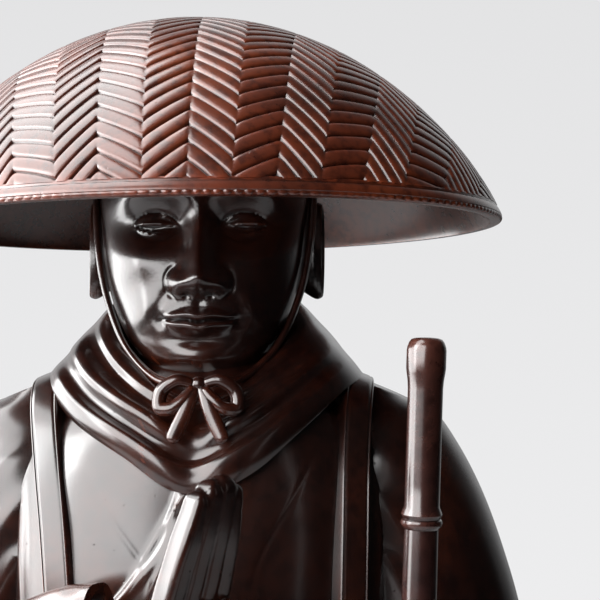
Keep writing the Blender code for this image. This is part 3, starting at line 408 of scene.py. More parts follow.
def make_scarf():
    """Thick cloth wound round the neck and crossed at the throat."""
    degrees = np.linspace(-180, 180, 441)
    degrees = (degrees - 0.55 * np.degrees(np.sin(np.radians(degrees))))[:, None]
    angle = np.radians(degrees)
    top_z = curve_through(SCARF_TOP_Z, degrees)
    low_z = curve_through(SCARF_LOW_Z, degrees)
    front = np.cos(angle) > 0
    top_x, top_y = 20.0 * np.sin(angle), -np.where(front, 25.5, 23.0) * np.cos(angle)
    low_x, low_y = 34.0 * np.sin(angle), -np.where(front, 34.0, 33.0) * np.cos(angle)
    share = np.linspace(0, 1, 150)[None]
    face = np.clip(share / 0.8, 0, 1)
    under = np.clip((share - 0.8) / 0.2, 0, 1)
    grow = (0.7 + 2.8 * step_up(np.abs(np.cos(angle)), 0.0, 0.8)) * np.sin(math.pi * face) ** 0.8
    grow = grow + wound_folds(face, angle)
    out_x, out_y = np.sin(angle), -np.cos(angle)
    tuck = np.sin(math.pi * under)
    x = top_x + (low_x - top_x) * (face - under) + out_x * (0.72 * grow - 6.0 * tuck)
    y = top_y + (low_y - top_y) * (face - under) + out_y * (0.72 * grow - 6.0 * tuck)
    z = top_z + (low_z - top_z) * (face - under) + 0.62 * grow - 5.0 * tuck
    return carved("figure_scarf", np.stack([x, y, z], -1))


# Robe

ROBE_WIDTH = [(27, 46), (60, 45), (110, 44), (150, 43), (185, 41), (205, 39.5), (230, 40), (255, 41.5),
              (272, 41.5), (286, 39), (294, 34), (299.5, 26), (303, 19), (308, 14)]
ROBE_FRONT = [(27, 33), (60, 33), (110, 33.5), (150, 33.5), (185, 32.5), (205, 32), (230, 33.5), (255, 34.5),
              (272, 33), (286, 30.4), (294, 28), (299.5, 25.5), (303, 22), (308, 16)]
ROBE_BACK = [(27, 31), (60, 30), (110, 29), (150, 29), (185, 29), (205, 28), (230, 29), (255, 30),
             (272, 30), (286, 28), (294, 25), (299.5, 21), (303, 18), (308, 15)]
PLEATS = 8
SASH_LOW = (199.4, 200.6)
SASH_HIGH = (212.4, 213.6)
SASH_LINES = (203.2, 206.4, 209.6)
CLOSING_EDGE = [(27, -17), (200, -15.5), (230, -17), (252, -22), (263, -13.6), (270, -7.8), (282, -3.6),
                (308, 3)]
CHEST_SEAMS = [[(-22.5, 286), (-21.2, 283.3), (-16, 275), (-10.4, 267.5), (-8, 262)],
               [(25.5, 293), (24.5, 291.2), (19, 280), (13.3, 270.5), (10, 262)]]
COLLAR_EDGES = [[(16, 297), (9, 291.5), (3, 286), (-3, 280), (-9, 270), (-14, 262)],
                [(18, 295), (11, 289), (5, 283.5), (-0.6, 277.5), (-6, 268), (-10, 258)]]
ARMHOLE_BAND = [(35.5, 292), (36.0, 283), (35.6, 270), (35.2, 255), (35, 235)]


def robe_folds(turn, z):
    """Outward swing of the cloth: pleats that deepen towards the hem, sharper folds on them, and a sash."""
    angle = 2 * math.pi * turn
    skirt = 1 - step_up(z, 120, 205)
    swing = np.cos(PLEATS * angle + 1.1 * np.sin(2 * angle) + 0.006 * z) + 0.35 * np.cos(7 * angle + 0.02 * z)
    folds = (0.5 + 1.9 * skirt) * skirt * swing
    small = np.abs(np.sin(11 * angle + 0.9 * np.sin(3 * angle) + 0.012 * z))
    folds -= 0.7 * skirt * np.exp(-((small / 0.22) ** 2))
    sash = step_up(z, *SASH_LOW) * (1 - step_up(z, *SASH_HIGH))
    lines = sum(np.exp(-(((z - line) / 0.35) ** 2)) for line in SASH_LINES)
    return folds + 1.3 * sash - 0.35 * lines


def make_robe():
    turn = gathered(np.linspace(0, 1, 301), 0.6)[None]
    rows = np.concatenate([np.linspace(27, 196, 48), np.linspace(198, 214, 24), np.linspace(216, 250, 14),
                           np.linspace(250.6, 300, 124), np.linspace(301, 308, 5)])
    z = rows[:, None]
    angle = 2 * math.pi * turn
    ahead = np.cos(angle)
    width, front, back = (curve_through(table, z) for table in (ROBE_WIDTH, ROBE_FRONT, ROBE_BACK))
    x = width * signed_power(np.sin(angle), 2 / 2.5)
    y = -np.where(ahead > 0, front, back) * signed_power(ahead, 2 / 2.5)
    length = np.hypot(x, y)
    facing = step_up(-y, 8, 16)
    past = x - curve_through(CLOSING_EDGE, z)
    level = np.broadcast_to(z, x.shape)
    raised = 0.95 * step_up(past, -0.85, 0.75) * (1 - step_up(past, 2.5, 16))
    raised = raised + 0.22 * np.exp(-(((past - 1.7) / 1.0) ** 2))
    for stops in CHEST_SEAMS:
        raised = raised + fold(x, level, stops, 0.5, -0.13, 0.3)
    for stops in COLLAR_EDGES:
        raised = raised + fold(x, level, stops, 0.7, 0.45, 0.15)
    raised = raised + fold(np.abs(x), level, ARMHOLE_BAND, 1.1, 0.9, 0.1)
    raised = raised + 0.12 * np.sin(x * 0.21 + level * 0.11) * np.sin(level * 0.16 - x * 0.05)
    grow = 1 + (robe_folds(turn, z) + raised * facing) / length
    hem = np.where(z < 40, 1.2 * np.sin(2 * math.pi * turn * 9) * (40 - z) / 13, 0)
    return carved("robe_form", with_poles(np.stack([x * grow, y * grow, level + hem], -1)[:, :-1]))


STRAP_PATHS = {
    -1: [(27, 24, 207), (28.5, 26.5, 240), (30, 25, 268), (31.4, 19, 288), (32.4, 8, 300.0),
         (32.6, -6, 301.4), (31.8, -16, 297.0), (30.0, -23, 286), (28.0, -27.8, 272), (26.6, -29.8, 255),
         (25.8, -30.2, 235), (25.2, -29.6, 207)],
    1: [(27, 24, 207), (28.5, 26.5, 240), (30, 25, 268), (31.2, 19, 288), (32.4, 8, 300.0), (32.6, -6, 301.4),
        (31.8, -16, 297.0), (31, -23, 286), (30.6, -27.6, 272), (30.2, -29.6, 255), (29.8, -30, 235),
        (29, -29.4, 207)],
}
STRAP_LEAN = 20
STRAP_HALF_WIDTH = 3.1
STRAP_DEPTH = 7.5
STRAP_SKIRT = 2.0


def make_strap(side):
    """Flat shoulder strap with corded edges and sloping sides."""
    line = path_through(STRAP_PATHS[side], np.linspace(0, 1, 150)) * np.array([side, 1, 1])
    along = unit_rows(np.gradient(line, axis=0))
    out = unit_rows(np.cross(along, np.array([1.0, 0, 0])))
    out = np.where((out[:, 1:2] * line[:, 1:2] + out[:, 2:3] * (line[:, 2:3] - 250)) > 0, out, -out)
    a = np.linspace(-STRAP_HALF_WIDTH, STRAP_HALF_WIDTH, 29)
    edge = STRAP_HALF_WIDTH - np.abs(a)
    top = 0.95 + 0.6 * np.sqrt(np.clip(1 - (1 - np.clip(edge / 0.55, 0, 1)) ** 2, 0, 1))
    top = top + 0.12 * (1 - (a / STRAP_HALF_WIDTH) ** 2)
    top = top - 0.20 * np.exp(-(((edge - 0.75) / 0.14) ** 2))
    slope = [(0.15, 0.4), (0.7, -1.4), (STRAP_SKIRT, 1 - STRAP_DEPTH)]
    section = [(-STRAP_HALF_WIDTH - out, up) for out, up in slope[::-1]]
    section += [*zip(a, top)] + [(STRAP_HALF_WIDTH + out, up) for out, up in slope]
    lean = math.radians(STRAP_LEAN) * side
    across = math.cos(lean) * np.array([1.0, 0, 0]) - math.sin(lean) * out
    upward = math.cos(lean) * out + math.sin(lean) * np.array([1.0, 0, 0])
    rings = np.stack([line + u * across + v * upward for u, v in section], 1)
    return carved(f"strap_form_{side}", with_poles(rings))


UPPER_ARM = [  # outer edge, inner edge and half depth of each section, from the shoulder down
    (43, 297.9, 26, 304.6, 9), (49, 295.2, 17, 290, 16.5), (54.5, 287.6, 15, 276, 21),
    (59.6, 277.6, 18, 262, 22), (64, 265.6, 24, 248, 21.5), (67.8, 252, 28, 236, 20),
    (69.6, 238, 33, 222, 18), (68, 224, 38, 212, 14), (60, 215, 46, 208, 7),
]
ARM_CENTRE_Y = 2.0
ARM_FOLDS = [([(33, 290), (40, 286), (49, 276), (56, 261), (60, 246)], 2.6, 0.7),
             ([(32, 281), (39, 276), (46, 265), (51, 250), (53, 238)], 2.2, 0.7),
             ([(31, 271), (38, 266), (43, 256), (46, 243), (46, 230)], 2.0, 0.6),
             ([(45, 290), (53, 279), (60, 263), (64, 246), (65, 230)], 2.4, 0.6)]


def make_upper_arm(side):
    """Shoulder and upper arm inside the loose sleeve, with folds that run from the armpit."""
    form = path_through(UPPER_ARM, np.linspace(0, 1, 120))[:, None]
    turn = (np.arange(104) / 104 * 2 * math.pi)[None]
    reach = (1 + np.cos(turn)) / 2
    x = form[..., 2] + (form[..., 0] - form[..., 2]) * reach
    z = form[..., 3] + (form[..., 1] - form[..., 3]) * reach
    raised = sum(fold(x, z, stops, width, height, 0.15, 0.35) for stops, width, height in ARM_FOLDS)
    swing = 1 + raised * step_up(np.abs(np.sin(turn)), 0.15, 0.6) / np.maximum(form[..., 4], 6)
    y = ARM_CENTRE_Y + form[..., 4] * np.sin(turn) * swing
    return carved(f"upper_arm_form_{side}", with_poles(np.stack([side * x, y, z], -1)))


SLEEVES = {
    -1: dict(plan=[(-51, 17), (-54, 8), (-50, -8), (-39, -24), (-27, -37), (-17.5, -44.5)],
             top=[(0, 236), (0.25, 248), (0.6, 257), (0.85, 264.5), (1, 266)],
             low=[(0, 186), (0.25, 160), (0.6, 146), (0.85, 148), (1, 153)],
             half=[(0, 6), (0.2, 11.5), (0.6, 11), (0.9, 8.4), (1, 7.2)]),
    1: dict(plan=[(51, 17), (55, 7), (55, -8), (51.5, -22), (47.5, -33), (44.5, -42)],
            top=[(0, 236), (0.25, 248), (0.6, 243), (0.85, 238), (1, 236)],
            low=[(0, 186), (0.25, 158), (0.6, 142), (0.85, 141), (1, 146)],
            half=[(0, 6), (0.2, 11.5), (0.6, 11), (0.9, 8.6), (1, 7.4)]),
}


def sleeve_points(side, stations, columns, trim=0.0, shrink=0.0):
    """Hanging sleeve: upright sections along the forearm, full at the top and folded below."""
    form = SLEEVES[side]
    at = np.linspace(trim, 1, stations)
    plan = path_through([(x, y, 0) for x, y in form["plan"]], at)
    ahead = unit_rows(np.gradient(plan, axis=0))
    lateral = np.stack([ahead[:, 1], -ahead[:, 0], 0 * ahead[:, 0]], -1)
    top = curve_through(form["top"], at) - shrink
    low = curve_through(form["low"], at) + shrink
    half = curve_through(form["half"], at) - shrink
    turn = np.arange(columns) / columns * 2 * math.pi
    rise = signed_power(np.cos(turn), 0.72)
    swell = signed_power(np.sin(turn), 0.72)
    below = (1 - rise) / 2
    rings = []
    for k, share in enumerate(at):
        bend = 1.7 * below * np.sin(2 * math.pi * (2.6 * share + 0.55 * below)) * (1 if shrink == 0 else 0.5)
        z = (top[k] + low[k]) / 2 + (top[k] - low[k]) / 2 * rise
        reach = half[k] * (1 - 0.30 * below) * swell + bend
        if shrink == 0:
            crease = np.abs(np.sin(math.pi * (5.2 * share + 1.1 * below + 0.4)))
            reach = reach - 0.7 * np.exp(-((crease / 0.2) ** 2)) * swell * step_up(below, 0.1, 0.5)
            reach = reach + 0.35 * np.exp(-(((1 - share) / 0.035) ** 2)) * np.sign(swell)
        rings.append(plan[k] + reach[:, None] * lateral[k] + np.array([0, 0, 1]) * z[:, None])
    return np.array(rings)


def make_sleeve_mouth(side):
    """What is cut from the sleeve's end, so that it reads as an open cuff."""
    points = sleeve_points(side, 12, 56, trim=0.9, shrink=1.9)
    forward = (points[-1] - points[-2]).mean(0)
    points[-1] += 3.0 * forward / np.linalg.norm(forward)
    return carved(f"sleeve_mouth_{side}", with_poles(points))


def rounded_lump(name, centre, sizes, segments=32, rings=20):
    """Sphere stretched to its half sizes, in parts of the body."""
    scale, lift = BODY
    deselect()
    bpy.ops.mesh.primitive_uv_sphere_add(segments=segments, ring_count=rings, radius=1)
    lump = bpy.context.active_object
    lump.name = name
    lump.data.transform(Matrix.Translation(Vector(centre) * scale + Vector((0, 0, lift)))
                        @ Matrix.Diagonal((*(size * scale for size in sizes), 1)))
    return lump


def make_dress():
    forms = [make_robe()]
    for side in (-1, 1):
        forms.append(make_strap(side))
        forms.append(make_upper_arm(side))
        forms.append(rounded_lump(f"elbow_form_{side}", (side * 42, -3, 215), (8, 11, 17)))
        forms.append(carved(f"sleeve_form_{side}", with_poles(sleeve_points(side, 100, 88))))
    dress = joined("figure_robe", forms)
    apply_boolean(dress, "DIFFERENCE", [make_sleeve_mouth(-1), make_sleeve_mouth(1)])
    return dress


# Hands

FINGERS = [  # start and tip along the hand, offset across it, thickness
    (21, 43.6, -6.4, 2.3), (22, 45.6, -2.2, 2.45), (22, 46.4, 2.1, 2.5), (21, 45.0, 6.2, 2.4),
]
FINGER_SHARES = [1.03, 1.06, 1.02, 1.04, 0.98, 0.94, 0.66]
RAISED_WRIST = np.array([-4.6, -51.9, 243.4])
RAISED_UP = np.array([0.225, -0.12, 0.965])
RAISED_ACROSS = np.array([0.60, 0.79, -0.12])
LEFT_WRIST = np.array([46.0, -38.0, 226.0])
BORE_GAP = 0.0003


def softened(obj, voxel, rounds):
    """Blends joined forms into one skin."""
    activate(obj)
    remesh = obj.modifiers.new("Skin", "REMESH")
    remesh.mode = "VOXEL"
    remesh.voxel_size = voxel
    bpy.ops.object.modifier_apply(modifier="Skin")
    smooth = obj.modifiers.new("Smooth", "SMOOTH")
    smooth.factor = 0.5
    smooth.iterations = rounds
    bpy.ops.object.modifier_apply(modifier="Smooth")
    return obj


def make_raised_hand():
    """Open hand held upright before the chest, fingers together, palm turned inwards."""
    up = RAISED_UP / np.linalg.norm(RAISED_UP)
    palm = np.cross(up, RAISED_ACROSS)
    palm /= np.linalg.norm(palm)
    across = np.cross(palm, up)
    palm = -palm

    def place(a, p, u):
        return RAISED_WRIST + a * across + p * palm + u * up

    middle = [place(0, out, along) for out, along in ((0, -3), (0.2, 6), (0.3, 14), (0.2, 22), (0, 26))]
    forms = [
        tube("palm_form", middle, [5.8, 9.0, 10.4, 9.6, 6.8], 56, 40, flat=0.36, face=palm, fullness=3.4),
        tube("wrist_form", [place(-3.0, 0, -16) + np.array([-14, 4, -3]), place(-1, 0, -7), place(0, 0, 1),
                            place(0, 0, 6)], [6.5, 6.0, 5.6, 4.0], 40, 30, flat=0.8, face=palm),
        tube("thumb_form", [place(5.4, 2.0, 3), place(7.8, 3.6, 9), place(7.8, 4.2, 16), place(6.6, 3.9, 23)],
             [3.0, 2.9, 2.6, 1.7], 28, 36, face=palm),
    ]
    for number, (base, tip, offset, thick) in enumerate(FINGERS):
        stops = [place(offset, 0.1, base - 3), place(offset * 0.92, 0.3, base + 8),
                 place(offset * 0.68, 0.2, tip - 5), place(offset * 0.54, -0.2, tip - 0.6)]
        radii = [thick * share for share in FINGER_SHARES]
        fullness = 4.4 - 0.3 * number
        forms.append(tube(f"finger_form_{number}", stops, radii, 36, 44, face=palm, fullness=fullness))
    return softened(joined("figure_raised_hand", forms), 0.00034, 3)


def staff_ends():
    return Vector((*STAFF_FOOT, SOLES)), Vector(STAFF_TOP)


def staff_frame():
    """The staff's direction and its place at the height of the fist, in parts of the body."""
    foot, top = staff_ends()
    direction = (top - foot).normalized()
    at = foot + direction * (GRIP_HEIGHT + SOLES - foot.z) / direction.z
    return np.array(direction), np.array([at.x, at.y, at.z - SOLES]) / BODY_PART


def along_staff(at):
    """Matrix that turns an upright shape to the staff's lean and moves it to the given point."""
    foot, top = staff_ends()
    turn = Vector((0, 0, 1)).rotation_difference(top - foot).to_matrix().to_4x4()
    return Matrix.Translation(at) @ turn


def staff_bore():
    """Hole through the fist that the staff stands in."""
    foot, top = staff_ends()
    deselect()
    radius = STAFF_RADIUS + BORE_GAP
    bpy.ops.mesh.primitive_cylinder_add(vertices=64, radius=radius, depth=(top - foot).length)
    bore = bpy.context.active_object
    bore.data.transform(along_staff((foot + top) / 2))
    return bore


def make_fist():
    """Hand closed round the staff: back of the hand, four wrapped fingers and a thumb."""
    up, centre = staff_frame()
    back = LEFT_WRIST - centre
    back -= up * np.dot(back, up)
    back /= np.linalg.norm(back)
    side = np.cross(up, back)

    def place(b, s, u):
        return centre + b * back + s * side + u * up

    wrap = STAFF_RADIUS / BODY_PART + 1.6
    forms = [
        tube("fist_form", [place(5.2, 0.4, -8), place(5.8, 0.4, -4), place(6, 0.3, 2), place(5.4, 0.2, 8)],
             [3.4, 4.7, 4.7, 3.2], 36, 30, flat=0.9),
        tube("left_wrist_form", [LEFT_WRIST + np.array([1.5, 12, 0.5]), LEFT_WRIST, place(8.5, 0.5, 0)],
             [5.6, 5.0, 4.4], 36, 26, face=(0, 0, 1)),
    ]
    for number in range(4):
        height = -6.2 + 4.1 * number
        turn = np.radians(np.linspace(-38, 245, 12))
        stops = [place(wrap * math.cos(t) * 1.12, wrap * math.sin(t), height) for t in turn]
        forms.append(tube(f"curled_form_{number}", stops, [2.0, 2.2, 1.95, 2.15, 1.9, 1.7], 24, 60, face=up))
    turn = np.radians(np.linspace(20, -150, 8))
    stops = [place(wrap * math.cos(t) * 1.1, wrap * math.sin(t), 9.6 + 0.45 * k) for k, t in enumerate(turn)]
    forms.append(tube("left_thumb_form", stops, [2.3, 2.2, 2.0, 1.4], 24, 44, face=up))
    fist = softened(joined("figure_fist", forms), 0.00032, 2)
    apply_boolean(fist, "DIFFERENCE", [staff_bore()])
    return fist


# Chin cord and its bow

KNOT = np.array([0.4, -31.0, 302.6])
CORD_SIDE = [(22.9, 1.0, 352), (23.0, -4.0, 341), (22.2, -7.6, 330), (20.0, -11.2, 319.5),
             (15.5, -16.6, 309.5), (8.8, -23.4, 303.3), (2.0, -30.2, 302.6)]
BOW_LOOP = [(0.9, -31.2, 302.4), (4.2, -31.8, 303.2), (7.2, -31.4, 301.0), (7.5, -32.0, 297.9),
            (5.1, -32.8, 297.8), (2.7, -32.6, 299.6), (0.9, -31.6, 301.8)]
BOW_TAIL = [(0.4, -31.6, 302.2), (1.7, -33.0, 299.0), (3.3, -33.8, 295.2), (5.2, -34.8, 291.2)]


def beside_head(points):
    """Moves the points above the chin with the head's own size."""
    points = np.array(points, float)
    share = HEAD_PART / BODY_PART
    above = points[:, 2] > CHIN_LEVEL + 3
    points[above] = points[above] * share + np.array([0, 0, CHIN_LEVEL * (1 - share)])
    return points


def make_cord():
    """Double cord from the hat's band down both cheeks, tied in a bow under the chin."""
    forms = [rounded_lump("knot_form", KNOT + np.array([0, -0.2, -0.2]), (1.6, 1.4, 1.5))]
    for side in (-1, 1):
        mirror = np.array([side, 1, 1])
        shift = np.array([KNOT[0], 0, 0])
        run = beside_head(CORD_SIDE) * mirror
        for half in (-0.52, 0.52):
            strand = run + np.array([0.3 * half * side, half, 0.5 * half])
            forms.append(tube(f"cord_form_{side}_{half}", strand, [0.7, 0.7, 0.7], 14, 90))
        loop, tail = (np.array(line) * mirror + shift for line in (BOW_LOOP, BOW_TAIL))
        forms.append(tube(f"loop_form_{side}", loop, [1.0, 1.35, 1.45, 1.35, 1.0], 20, 80))
        forms.append(tube(f"tail_form_{side}", tail, [1.0, 1.3, 1.5, 1.5, 1.3], 20, 50, flat=0.6))
    return joined("figure_cord", forms)


# Legs and feet

FOOT_OUTLINE = [(-38, 5.0), (-35, 7.8), (-26, 9.4), (-12, 8.2), (4, 7.4), (11, 6.4), (14.5, 3.2)]
FOOT_TOP = [(-38, 4.2), (-30, 6.6), (-16, 10.5), (-4, 15.5), (6, 16), (14.5, 9)]
TOES, HEEL = -38, 14.5


def make_leg(side):
    """Bound shin, running up inside the robe."""
    stops = [(side * x, y, z) for x, y, z in ((16.5, 3, 5), (16.5, 3, 14), (17, 2, 26), (17.5, 1, 44))]
    return tube(f"shin_form_{side}", stops, [7.2, 7.0, 9.0, 10.5], 48, 40, face=(1, 0, 0))


def make_foot(side):
    """Foot with its big toe set apart, on a flat straw sandal with two tying cords."""

    def middle(y):
        return side * (17.5 - 0.10 * y)

    turn = np.arange(64) / 64 * 2 * math.pi
    rings = []
    for y in np.linspace(TOES, HEEL, 70):
        half = curve_through(FOOT_OUTLINE, y)
        height = curve_through(FOOT_TOP, y)
        across = half * np.sin(turn)
        cleft = 1.6 * np.exp(-(((across + side * 2.6) / 0.7) ** 2)) * (1 - step_up(y, -34, -25))
        level = 3.0 + (height - 3.0) * np.cos(turn) - cleft * (np.cos(turn) > 0)
        rings.append(np.stack([middle(y) + across, np.full(64, float(y)), np.maximum(level, 2.0)], -1))
    sole = []
    for z, grow in ((0.0, 1.5), (0.4, 1.7), (2.8, 1.7), (3.2, 1.4)):
        edge = [(middle(y) + s * (curve_through(FOOT_OUTLINE, y) + grow), y - (grow if y == TOES else 0), z)
                for s in (1, -1) for y in np.linspace(TOES, HEEL, 30)[::s]]
        sole.append(edge)
    forms = [carved(f"foot_form_{side}", with_poles(rings)), carved(f"sole_form_{side}", with_poles(sole))]
    for number, (y, lean) in enumerate(((-24, -4), (-10, 6))):
        half = 1.02 * float(curve_through(FOOT_OUTLINE, y))
        height = float(curve_through(FOOT_TOP, y)) - 2.6
        stops = [(middle(y) + half * math.sin(a), y + lean * math.cos(a), 3.2 + height * math.cos(a))
                 for a in np.radians(np.linspace(-84, 84, 9))]
        forms.append(tube(f"tie_form_{side}_{number}", stops, [0.9, 0.9, 0.9], 16, 40))
    return forms


def make_feet():
    names = {-1: "figure_right_foot", 1: "figure_left_foot"}
    return [joined(name, [*make_foot(side), make_leg(side)]) for side, name in names.items()]


# Hat

WEAVE_SEED = 7
SLAT_STEPS = [0, 0.04, 0.08, 0.13, 0.19, 0.32, 0.5, 0.7, 0.86, 0.95]
SLAT_HEIGHTS = [0.0, 0.22, 0.52, 0.76, 0.88, 0.98, 1.0, 0.94, 0.80, 0.48, 0.0]
RIM_BEAD = [(-0.0005, -0.0002), (-0.00035, 0.00035), (-0.0001, 0.00055), (0.00025, 0.00045),
            (0.00045, 0.0001), (0.0005, -0.0003), (0.0009, -0.0006)]
EDGING_RADIUS = 0.00055
EDGING_WAVE = 0.00034


def hat_profile(share):
    """Height of the crown over the rim at a share of its radius, as a share of its rise."""
    return (1 - np.clip(share, 0, 1) ** 2.05) ** 0.78


def hat_table():
    """Arc length from the apex, radius, height and outward slope down the crown, in metres."""
    share = 1 - np.linspace(1, 0, 400) ** 1.6
    radius = share * HAT_RADIUS
    height = hat_profile(share) * HAT_RISE
    arc = np.concatenate([[0], np.cumsum(np.hypot(np.diff(radius), np.diff(height)))])
    return arc, radius, height, np.arctan2(-np.gradient(height), np.gradient(radius))


def wrap_on_crown(points):
    """Bends flat weave (x, y, thickness) over the crown, keeping lengths from the apex."""
    arc, radius, height, slope = hat_table()
    reach = np.hypot(points[:, 0], points[:, 1])
    away = points[:, :2] / np.maximum(reach, 1e-9)[:, None]
    lean = np.interp(reach, arc, slope)
    out = np.interp(reach, arc, radius) + points[:, 2] * np.sin(lean)
    up = np.interp(reach, arc, height) + points[:, 2] * np.cos(lean)
    return np.column_stack([away * out[:, None], up])


def make_weave():
    """Herringbone of overlapping split strips, laid flat, cut round and bent over the crown."""
    arc, radius, _, _ = hat_table()
    edge = float(np.interp(HAT_RADIUS * BAND_SHARE, radius, arc))
    columns = 2 * math.ceil(edge / WEAVE_COLUMN) + 4
    strips = 2 * math.ceil(edge / WEAVE_PITCH) + 14
    drop = WEAVE_COLUMN * math.tan(math.radians(WEAVE_SLANT))
    across = np.array([0, 0.035, 0.10, 0.22, 0.4, 0.6, 0.78, 0.90, 0.965])
    u = np.append((np.arange(columns)[:, None] + across).ravel(), columns)[None]
    v = np.append((np.arange(strips)[:, None] + SLAT_STEPS).ravel(), strips)[:, None]
    column = np.minimum(u.astype(int), columns - 1)
    share = u - column
    strip = np.minimum(v.astype(int), strips - 1)
    b = v - strip
    rng = np.random.RandomState(WEAVE_SEED)
    lift = rng.uniform(-1, 1, (strips, columns))
    shift = rng.uniform(-1, 1, (strips, columns))
    zigzag = drop * ((1 - share) * (column % 2 - 0.5) + share * ((column + 1) % 2 - 0.5))
    near_end = np.minimum(share, 1 - share)
    slat = np.interp(b, [*SLAT_STEPS, 1], SLAT_HEIGHTS)
    own = 0.95 + 0.05 * lift[strip, column] * np.sin(math.pi * share)
    ends = 1 - 0.12 * np.exp(-((near_end / 0.03) ** 2))
    beside = np.exp(-(((b - 1) / 0.20) ** 2)) + np.exp(-((b / 0.14) ** 2))
    notch = 0.28 * np.exp(-((near_end / 0.045) ** 2)) * beside
    z = WEAVE_RELIEF * (slat * own * ends - notch)
    x = (u - columns / 2) * WEAVE_COLUMN + WEAVE_SHIFT + 0 * v
    y = (v - strips / 2) * WEAVE_PITCH + zigzag
    y = y + 0.03 * WEAVE_PITCH * shift[strip, column] * np.sin(math.pi * share)
    weave = sheet("weave_form", np.stack([x, y, z], -1))
    bpy.ops.object.mode_set(mode="EDIT")
    bpy.ops.mesh.select_all(action="SELECT")
    bpy.ops.mesh.extrude_region_move(TRANSFORM_OT_translate={"value": (0, 0, -WEAVE_SKIN)})
    bpy.ops.mesh.select_all(action="SELECT")
    bpy.ops.mesh.normals_make_consistent(inside=False)
    bpy.ops.object.mode_set(mode="OBJECT")
    deselect()
    bpy.ops.mesh.primitive_cylinder_add(vertices=256, radius=edge, depth=8 * WEAVE_SKIN)
    disc = bpy.context.active_object
    apply_boolean(weave, "INTERSECT", [disc])
    points = np.empty(len(weave.data.vertices) * 3, np.float32)
    weave.data.vertices.foreach_get("co", points)
    move_points(weave, wrap_on_crown(points.reshape(-1, 3).astype(float)))
    return weave


def turned(name, profile, steps, waves=0, wave_rows=(), wave_height=0.0):
    """Body turned about Z from (radius, height) stops, with waves round it on some of the rows."""
    profile = np.asarray(profile, float)
    turn = np.linspace(0, 2 * math.pi, steps + 1)
    radius = np.repeat(profile[:, :1], steps + 1, 1)
    height = np.repeat(profile[:, 1:], steps + 1, 1)
    if waves:
        drift = 1.6 * np.sin(5 * turn) + 0.9 * np.sin(13 * turn + 1)
        lobes = (np.abs(np.sin(waves / 2 * turn + drift)) ** 0.8 - 1) * (0.65 + 0.35 * np.sin(9 * turn + 2))
        weight = np.asarray(wave_rows, float)[:, None]
        radius = radius + wave_height * lobes * weight
        height = height - wave_height * lobes * weight
    points = np.stack([radius * np.cos(turn), radius * np.sin(turn), height], -1)
    return carved(name, points, (1.0, 0.0))


def skull_height(x, y):
    """Height of the skull above the chin over points of a plan, in parts of the head."""
    levels = np.linspace(40, 62.9, 230)[:, None]
    forward = HEAD_SHIFT - y
    depth = np.where(forward > 0, curve_through(HEAD_FRONT, levels), curve_through(HEAD_BACK, levels))
    reach = (np.abs(x) / curve_through(HEAD_WIDTH, levels)) ** FACE_FULLNESS
    inside = reach + (np.abs(forward) / depth) ** FACE_FULLNESS < 1
    return np.where(inside, levels, 0).max(0)


def hat_frame():
    """Height of the hat's seat, where its band meets the skull, and how the hat leans."""
    lean = Matrix.Rotation(math.radians(-HAT_TILT_BACK), 4, "X")
    lean = lean @ Matrix.Rotation(math.radians(HAT_ROLL), 4, "Y")
    turn = np.linspace(0, 2 * math.pi, 73)
    contact = 0
    for radius in (HEADBAND_RADIUS, HEADBAND_RADIUS + HEADBAND_WALL):
        ring = np.column_stack([radius * np.sin(turn), radius * np.cos(turn), 0 * turn])
        ring = ring @ np.array(lean.to_3x3()).T / HEAD_PART
        skull = skull_height(ring[:, 0] + HAT_OFFSET_X / HEAD_PART, ring[:, 1] + HEAD_SHIFT)
        contact = max(contact, (skull - ring[:, 2]).max())
    return HEAD[1] + contact * HEAD_PART + REST_GAP, lean


def place_hat(obj):
    seat, lean = hat_frame()
    shift = Matrix.Translation((HAT_OFFSET_X, HEAD_SHIFT * HEAD_PART, seat))
    obj.data.transform(shift @ lean @ Matrix.Translation((0, 0, -HAT_RISE * HAT_SEAT_SHARE)))


def make_hat():
    """Shallow domed hat: woven crown, plain rim band, smooth inside and a headband resting on the skull."""
    share = np.sin(np.linspace(0, 1, 40) * math.pi / 2)
    share = share[share < BAND_SHARE - 0.01]
    outer = [(s * HAT_RADIUS, hat_profile(s) * HAT_RISE - WEAVE_SKIN * 0.45) for s in share]
    band, top = HAT_RADIUS + HAT_BAND_SWELL, float(hat_profile(BAND_SHARE)) * HAT_RISE
    start = HAT_RADIUS * BAND_SHARE
    outer += [(start + out, top + up) for out, up in RIM_BEAD]
    outer += [(band - 0.00025, top - 0.0013), (band - 0.00005, top - 0.0019), (band - 0.00005, 0.0011),
              (band - 0.0002, 0.0009), (band - 0.0003, 0.0002), (band - 0.0009, 0.0)]
    inner_radius, inner_rise = HAT_RADIUS - HAT_WALL, HAT_RISE - HAT_WALL
    inward = np.sin(np.linspace(1, 0, 40) * math.pi / 2)
    inner = [(s * inner_radius, hat_profile(s) * inner_rise) for s in inward]
    shell = turned("hat_woven", [*outer, (inner_radius + 0.0004, 0.0), *inner], 256)
    seat_height = HAT_RISE * HAT_SEAT_SHARE
    ring_in, ring_out = HEADBAND_RADIUS, HEADBAND_RADIUS + HEADBAND_WALL
    ring_top = float(hat_profile(ring_out / inner_radius) * inner_rise) + HAT_WALL / 2
    soft = 0.0003
    ring = turned("ring_form", [(ring_in, ring_top), (ring_out, ring_top), (ring_out, seat_height + soft),
                                (ring_out - soft, seat_height), (ring_in + soft, seat_height),
                                (ring_in, seat_height + soft), (ring_in, ring_top)], 96)
    apply_boolean(shell, "UNION", [make_weave(), ring])
    place_hat(shell)
    return shell


